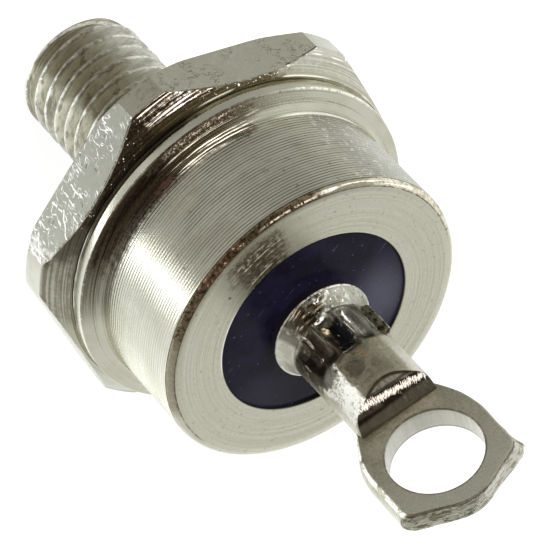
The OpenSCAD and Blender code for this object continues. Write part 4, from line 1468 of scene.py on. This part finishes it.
def step_marks(s):
    """Scores, front to back, on the pressed step, painted copper-bright as painted highlights; dark before
    and behind as painted shade, with a pale painted highlight along the rounded front edge.
    """
    inside = s.above(s.z, TUBE_TOP - 0.48, 0.02) * s.below(s.z, TUBE_TOP + 0.45, 0.05)
    inside = inside * s.below(s.radius, TUBE_R - 0.05, 0.02) * s.below(s.y, -0.025, 0.025)
    teeth = s.noise(s.combine(s.x * 15, s.y * 0.9, 0), 1.5, 2, 0.6)
    reach = abs(s.y + 1.1 + s.x * 0.14) - (teeth - 0.5)
    # Dark and middle tones of the step: painted shade.
    facet = s.mix(s.step(s.y, -0.60, -0.42), (0.05, 0.037, 0.026), (0.30, 0.285, 0.225))
    s.paint(inside, facet, 0.42)
    # Front of the step painted darker: painted shade in the hollow.
    half_moon = inside * s.below(s.y + s.x * 0.1, -1.48, 0.05)
    s.paint(half_moon, s.mix(s.grit, (0.16, 0.13, 0.09), (0.36, 0.32, 0.24)), 0.5)
    # Pale arc inside it: painted highlight.
    crescent = (
        half_moon * s.band(s.radius, TUBE_R - 0.36, TUBE_R - 0.18, 0.05) * s.band(s.x, -0.9, 0.6, 0.25)
    )
    s.paint(crescent * s.step(s.grit, 0.3, 0.6, 0.5, 1), (0.82, 0.8, 0.7), 0.5)
    # Dark band before the scores and dark line along the tube's edge: painted shade.
    s.paint(s.band(s.y, -1.62, -1.5, 0.05) * inside * 0.7, (0.06, 0.045, 0.03))
    lip = half_moon * s.above(s.radius, TUBE_R - 0.12, 0.04) * s.above(s.grit, 0.42, 0.08) * 0.8
    s.paint(lip, (0.10, 0.08, 0.05), 0.5)
    # Scores painted copper-bright: painted highlights.
    glow = s.noise(s.combine(s.x * 5, s.y * 2, 0), 2, 3)
    tint = s.mix(s.above(glow, 0.5, 0.1), (0.93, 0.74, 0.6), (1, 0.96, 0.9))
    gaps = s.noise(s.combine(s.x * 22, s.y * 3, 5), 1, 2)
    s.gleam(inside * s.below(reach, 0.21, 0.05) * s.above(gaps, 0.42, 0.05), tint)


def end_marks(s):
    """Sheared end of pale torn metal, dark at its front edge; pale eyelet bore; painted highlights along one
    front edge of the plate. Returns the height.
    """
    line = CORNER_Z - 0.1 + (PLATE_HALF - abs(s.x)) * 0.42
    end = s.above(s.z - line, -0.08, 0.04) * s.above(s.y, 0.06, 0.03)
    swirled = s.x + s.cloud(0.9, 2) * 2
    drawn = s.combine(swirled * 0.9, s.y * 3, s.z * 2.4)
    torn = s.noise(drawn, 1.5, 4, 0.6)
    level = s.step(s.x, -0.9, 0.6)
    pale = s.mix(level, (0.84, 0.83, 0.74), (0.66, 0.66, 0.55))
    dark = s.mix(level, (0.50, 0.47, 0.35), (0.30, 0.285, 0.20))
    s.paint(end, s.mix(s.above(torn, 0.46, 0.06), dark, pale), 0.5)
    contour = abs(s.noise(drawn, 0.9, 3, 0.6) - 0.48)
    s.paint(end * s.below(contour, 0.014, 0.01) * s.blend(level, 0.35, 0.75), (0.14, 0.125, 0.08))
    front = end * s.below(s.y + s.grit * 0.4, 0.33, 0.06) * 0.8
    s.paint(front, (0.14, 0.115, 0.07))
    from_hole = s.length(s.x, s.z - HOLE_Z)
    bore = s.below(from_hole, HOLE_R + 0.02, 0.01) * s.above(s.y, 0.05, 0.03)
    dragged = s.noise(s.combine(s.x * 3, s.y * 0.3, s.z * 3), 1.5, 4, 0.65)
    s.paint(bore, s.mix(s.above(dragged, 0.5, 0.2), (0.73, 0.73, 0.64), (0.83, 0.83, 0.76)), 0.55)
    s.paint(bore * s.above(s.y, PLATE_T - 0.16, 0.05) * 0.5, (0.4, 0.39, 0.31))
    mouth = s.band(from_hole, HOLE_R, HOLE_R + 0.07, 0.05) * s.below(s.y, 0.03, 0.02)
    s.paint(mouth * s.flecks(0.48, 0.06, 1.3, 4) * 0.6, (0.16, 0.13, 0.08))
    # Painted highlights along the plate's front edge on one side.
    side = s.above(s.x, 2, 0.1) * s.band(s.y, 0.04, 0.16, 0.04) * s.band(s.z, 15.6, 20.3, 0.2)
    s.gleam(side * s.flecks(0.44, 0.05, 2.2, 3) * 0.9, (1, 1, 0.94))
    return end * torn


def plain_metal(name, light, dark, roughness):
    """Hidden inner pieces: an even metal with a fine grain."""
    s = Shader(name, roughness, roughness + 0.12)
    s.color = s.mix(s.grit, dark, light)
    s.lift(s.cloud(20, 3, 0.6), 0.005)
    return s.finish()


def silicon_material():
    """Dark, smooth silicon."""
    s = Shader("silicon", 0.12, 0.20)
    s.color = s.mix(s.grit, (0.07, 0.08, 0.10), (0.12, 0.13, 0.16))
    s.lift(s.cloud(25, 2, 0.5), 0.002)
    return s.finish(0.3)


def silicone_material():
    """Dull, pale silicone rubber."""
    s = Shader("silicone", 0.45, 0.60)
    s.color = s.mix(s.cloud(2.5, 4, 0.6), (0.58, 0.53, 0.44), (0.74, 0.7, 0.62))
    s.lift(s.cloud(6, 3, 0.6), 0.02)
    return s.finish(0)


def strand_material():
    """Copper strands that wind round the lead."""
    s = Shader("copper_strand", 0.25, 0.40)
    twist = s.azimuth * (14 / 360) + s.z * 0.9
    wire = s.math("PINGPONG", twist, 0.5)
    s.color = s.mix(s.step(wire, 0, 0.35), (0.25, 0.11, 0.06), (0.74, 0.4, 0.27))
    s.lift(wire, 0.12)
    return s.finish()


# Studio


def studio_level(s, across, upward):
    """Brightness of the studio by its sideways and upward place around the photographer's direction."""
    down = upward * -1
    table = s.step(across * -1, 0.6, 0.78) * s.step(down, -0.06, 0.1)
    corner = s.step(upward, 0.45, 0.60) * s.fall(across, -0.10, 0.25)
    level = 0.52 + s.step(across, 0.15, 0.55, 0, 0.28) + s.step(down, 0.35, 0.75, 0, 0.22)
    level = level + table * 0.60 + corner * -0.12
    rim = s.math("SQRT", across * across + upward * upward)
    return level + s.step(rim, 0.84, 0.98, 0, 0.4)


def tall_window(s, toward):
    """Extra brightness of the window: between two compass directions, from the table up to eye level."""
    x, y, z = s.split(toward)
    compass = s.math("ARCTAN2", y, x) * (180 / math.pi)
    wide = s.step(compass, WINDOW_FROM - 1, WINDOW_FROM + 1) * s.fall(compass, WINDOW_TO - 4, WINDOW_TO + 8)
    tall = s.step(z, -0.97, -0.90) * s.fall(z, -0.30, -0.12)
    return wide * tall * WINDOW_LEVEL


def studio_world():
    """Pale room with a tall window and a dark photographer, as metal shows it; white when seen directly."""
    front, side, up = (tuple(Vector(v).normalized()) for v in (FRONT, SIDE, UPWARD))
    world = bpy.data.worlds.new("studio")
    bpy.context.scene.world = world
    world.use_nodes = True
    s = Nodes(world.node_tree)
    toward = s.vector("NORMALIZE", s.add("TexCoord", {}, "Generated"))
    half = s.vector("NORMALIZE", s.vector("ADD", toward, front))
    across = s.vector("DOT_PRODUCT", half, side)
    upward = s.vector("DOT_PRODUCT", half, up)
    u, v = across - 0.05, upward + 0.125
    long_way = (u * 0.727 - v * 0.687) / 0.62
    short_way = (u * 0.687 + v * 0.727) / 0.42
    dark = s.fall(s.length(long_way, short_way), 0.82, 1.16)
    level = studio_level(s, across, upward) + tall_window(s, toward)
    tint = s.mix(s.step(level, 0.6, 1.2), (1, 0.99, 0.96), (0.97, 0.99, 1.03))
    mirrored = s.largest(s.ray("Is Glossy Ray"), s.ray("Is Transmission Ray"))
    backdrop = s.largest(s.ray("Is Camera Ray"), mirrored)
    room = s.mix(dark, tint, (0.125, 0.10, 0.07))
    color = s.mix(backdrop, (1, 1, 0.99), s.mix(mirrored, (1, 1, 1), room))
    strength = s.blend(backdrop, SOFT_LEVEL, s.blend(mirrored, 1, s.blend(dark, level, 1)))
    s.add("OutputWorld", {0: s.add("Background", {0: color, 1: strength})})


def view_rotation():
    """Rotation of a camera that looks from its place to its target, rolled about that line."""
    back = (Vector(CAMERA_PLACE) - Vector(CAMERA_TARGET)).normalized()
    level = Vector((0, 0, 1)).cross(back).normalized()
    roll = math.radians(CAMERA_ROLL)
    up = back.cross(level) * math.cos(roll) - level * math.sin(roll)
    return Matrix((up.cross(back), up, back)).transposed()


def camera():
    """Camera at the photograph's viewpoint."""
    data = bpy.data.cameras.new("camera")
    data.sensor_width = CAMERA_SENSOR
    data.lens = CAMERA_LENS
    data.clip_start = 0.005
    data.clip_end = 10.0
    cam = linked("camera", data)
    cam.matrix_world = Matrix.Translation(Vector(CAMERA_PLACE) * MM) @ view_rotation().to_4x4()
    bpy.context.scene.camera = cam


def floor():
    """Pale floor under the stud's end. Seen directly it is white, less the object's shadow."""
    z = -STUD_LEN - 0.05
    corners = [(-1, -1), (1, -1), (1, 1), (-1, 1)]
    verts = [(x * FLOOR_HALF, y * FLOOR_HALF, z) for x, y in corners]
    s = Shader("floor")
    pale = s.add("BsdfDiffuse", {0: s.mix(s.noise(s.place, 0.05), (0.80, 0.80, 0.79), (0.82, 0.82, 0.81))})
    glow = s.add("Emission", {0: (1.0, 1.0, 1.0), 1: FLOOR_GLOW})
    white = s.add("AddShader", {0: s.add("BsdfDiffuse", {0: (0.36, 0.36, 0.36)}), 1: glow})
    seen = s.largest(*(s.ray(kind) for kind in ("Is Camera Ray", "Is Glossy Ray", "Is Transmission Ray")))
    s.add("OutputMaterial", {0: s.add("MixShader", {0: seen, 1: pale, 2: white})})
    plane = new_piece("floor", verts, [(0, 1, 2, 3)], s.material, 0)
    plane.visible_glossy = False


def soft_lamp(name, place, target, size, watts):
    """Round lamp at a place, turned to a target, that no surface mirrors."""
    data = bpy.data.lights.new(name, "AREA")
    data.shape = "DISK"
    data.size = size * MM
    data.energy = watts
    lamp = linked(name, data)
    lamp.location = Vector(place) * MM
    lamp.rotation_mode = "QUATERNION"
    lamp.rotation_quaternion = (Vector(place) - Vector(target)).to_track_quat("Z", "Y")
    lamp.visible_glossy = False


# The scene


def dress(piece, node):
    """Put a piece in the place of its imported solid."""
    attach(piece, "root")
    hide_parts(node)


def inner_pieces(frame):
    """Sealed inner pieces keep their solids and get their materials."""
    solder = plain_metal("joint_solder", (0.56, 0.56, 0.56), (0.44, 0.44, 0.45), 0.4)
    molybdenum = plain_metal("molybdenum", (0.46, 0.47, 0.49), (0.38, 0.39, 0.41), 0.3)
    copper = plain_metal("copper", (0.78, 0.45, 0.32), (0.66, 0.34, 0.22), 0.25)
    looks = {
        "base_solder": solder,
        "lower_disc": molybdenum,
        "lower_die_solder": solder,
        "silicon_die": silicon_material(),
        "junction_coating": silicone_material(),
        "upper_die_solder": solder,
        "upper_disc": molybdenum,
        "upper_solder": solder,
        "contact_cup": copper,
        "inner_lead": strand_material(),
    }
    for node, look in looks.items():
        piece = frame["nodes"][node]
        piece.data.materials.clear()
        piece.data.materials.append(look)
        shade(piece.data, 35)


def main():
    """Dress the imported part, light it and look at it from the photograph's viewpoint."""
    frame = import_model()
    bpy.context.scene.view_settings.view_transform = "Standard"
    inner_pieces(frame)
    dress(base_mesh(base_material()), "stud_base")
    dress(ring_mesh(ring_material()), "weld_ring")
    dress(case_mesh(case_material()), "cap_shell")
    dress(glass_mesh(glass_material()), "glass_seal")
    dress(sleeve_mesh(sleeve_material()), "terminal_sleeve")
    dress(solder_mesh(solder_material()), "terminal_solder")
    dress(lug_mesh(lug_material()), "terminal_lug")
    studio_world()
    floor()
    soft_lamp("key", (-60, -160, 150), (0, 0, 5), 140, 0.9)
    camera()


main()
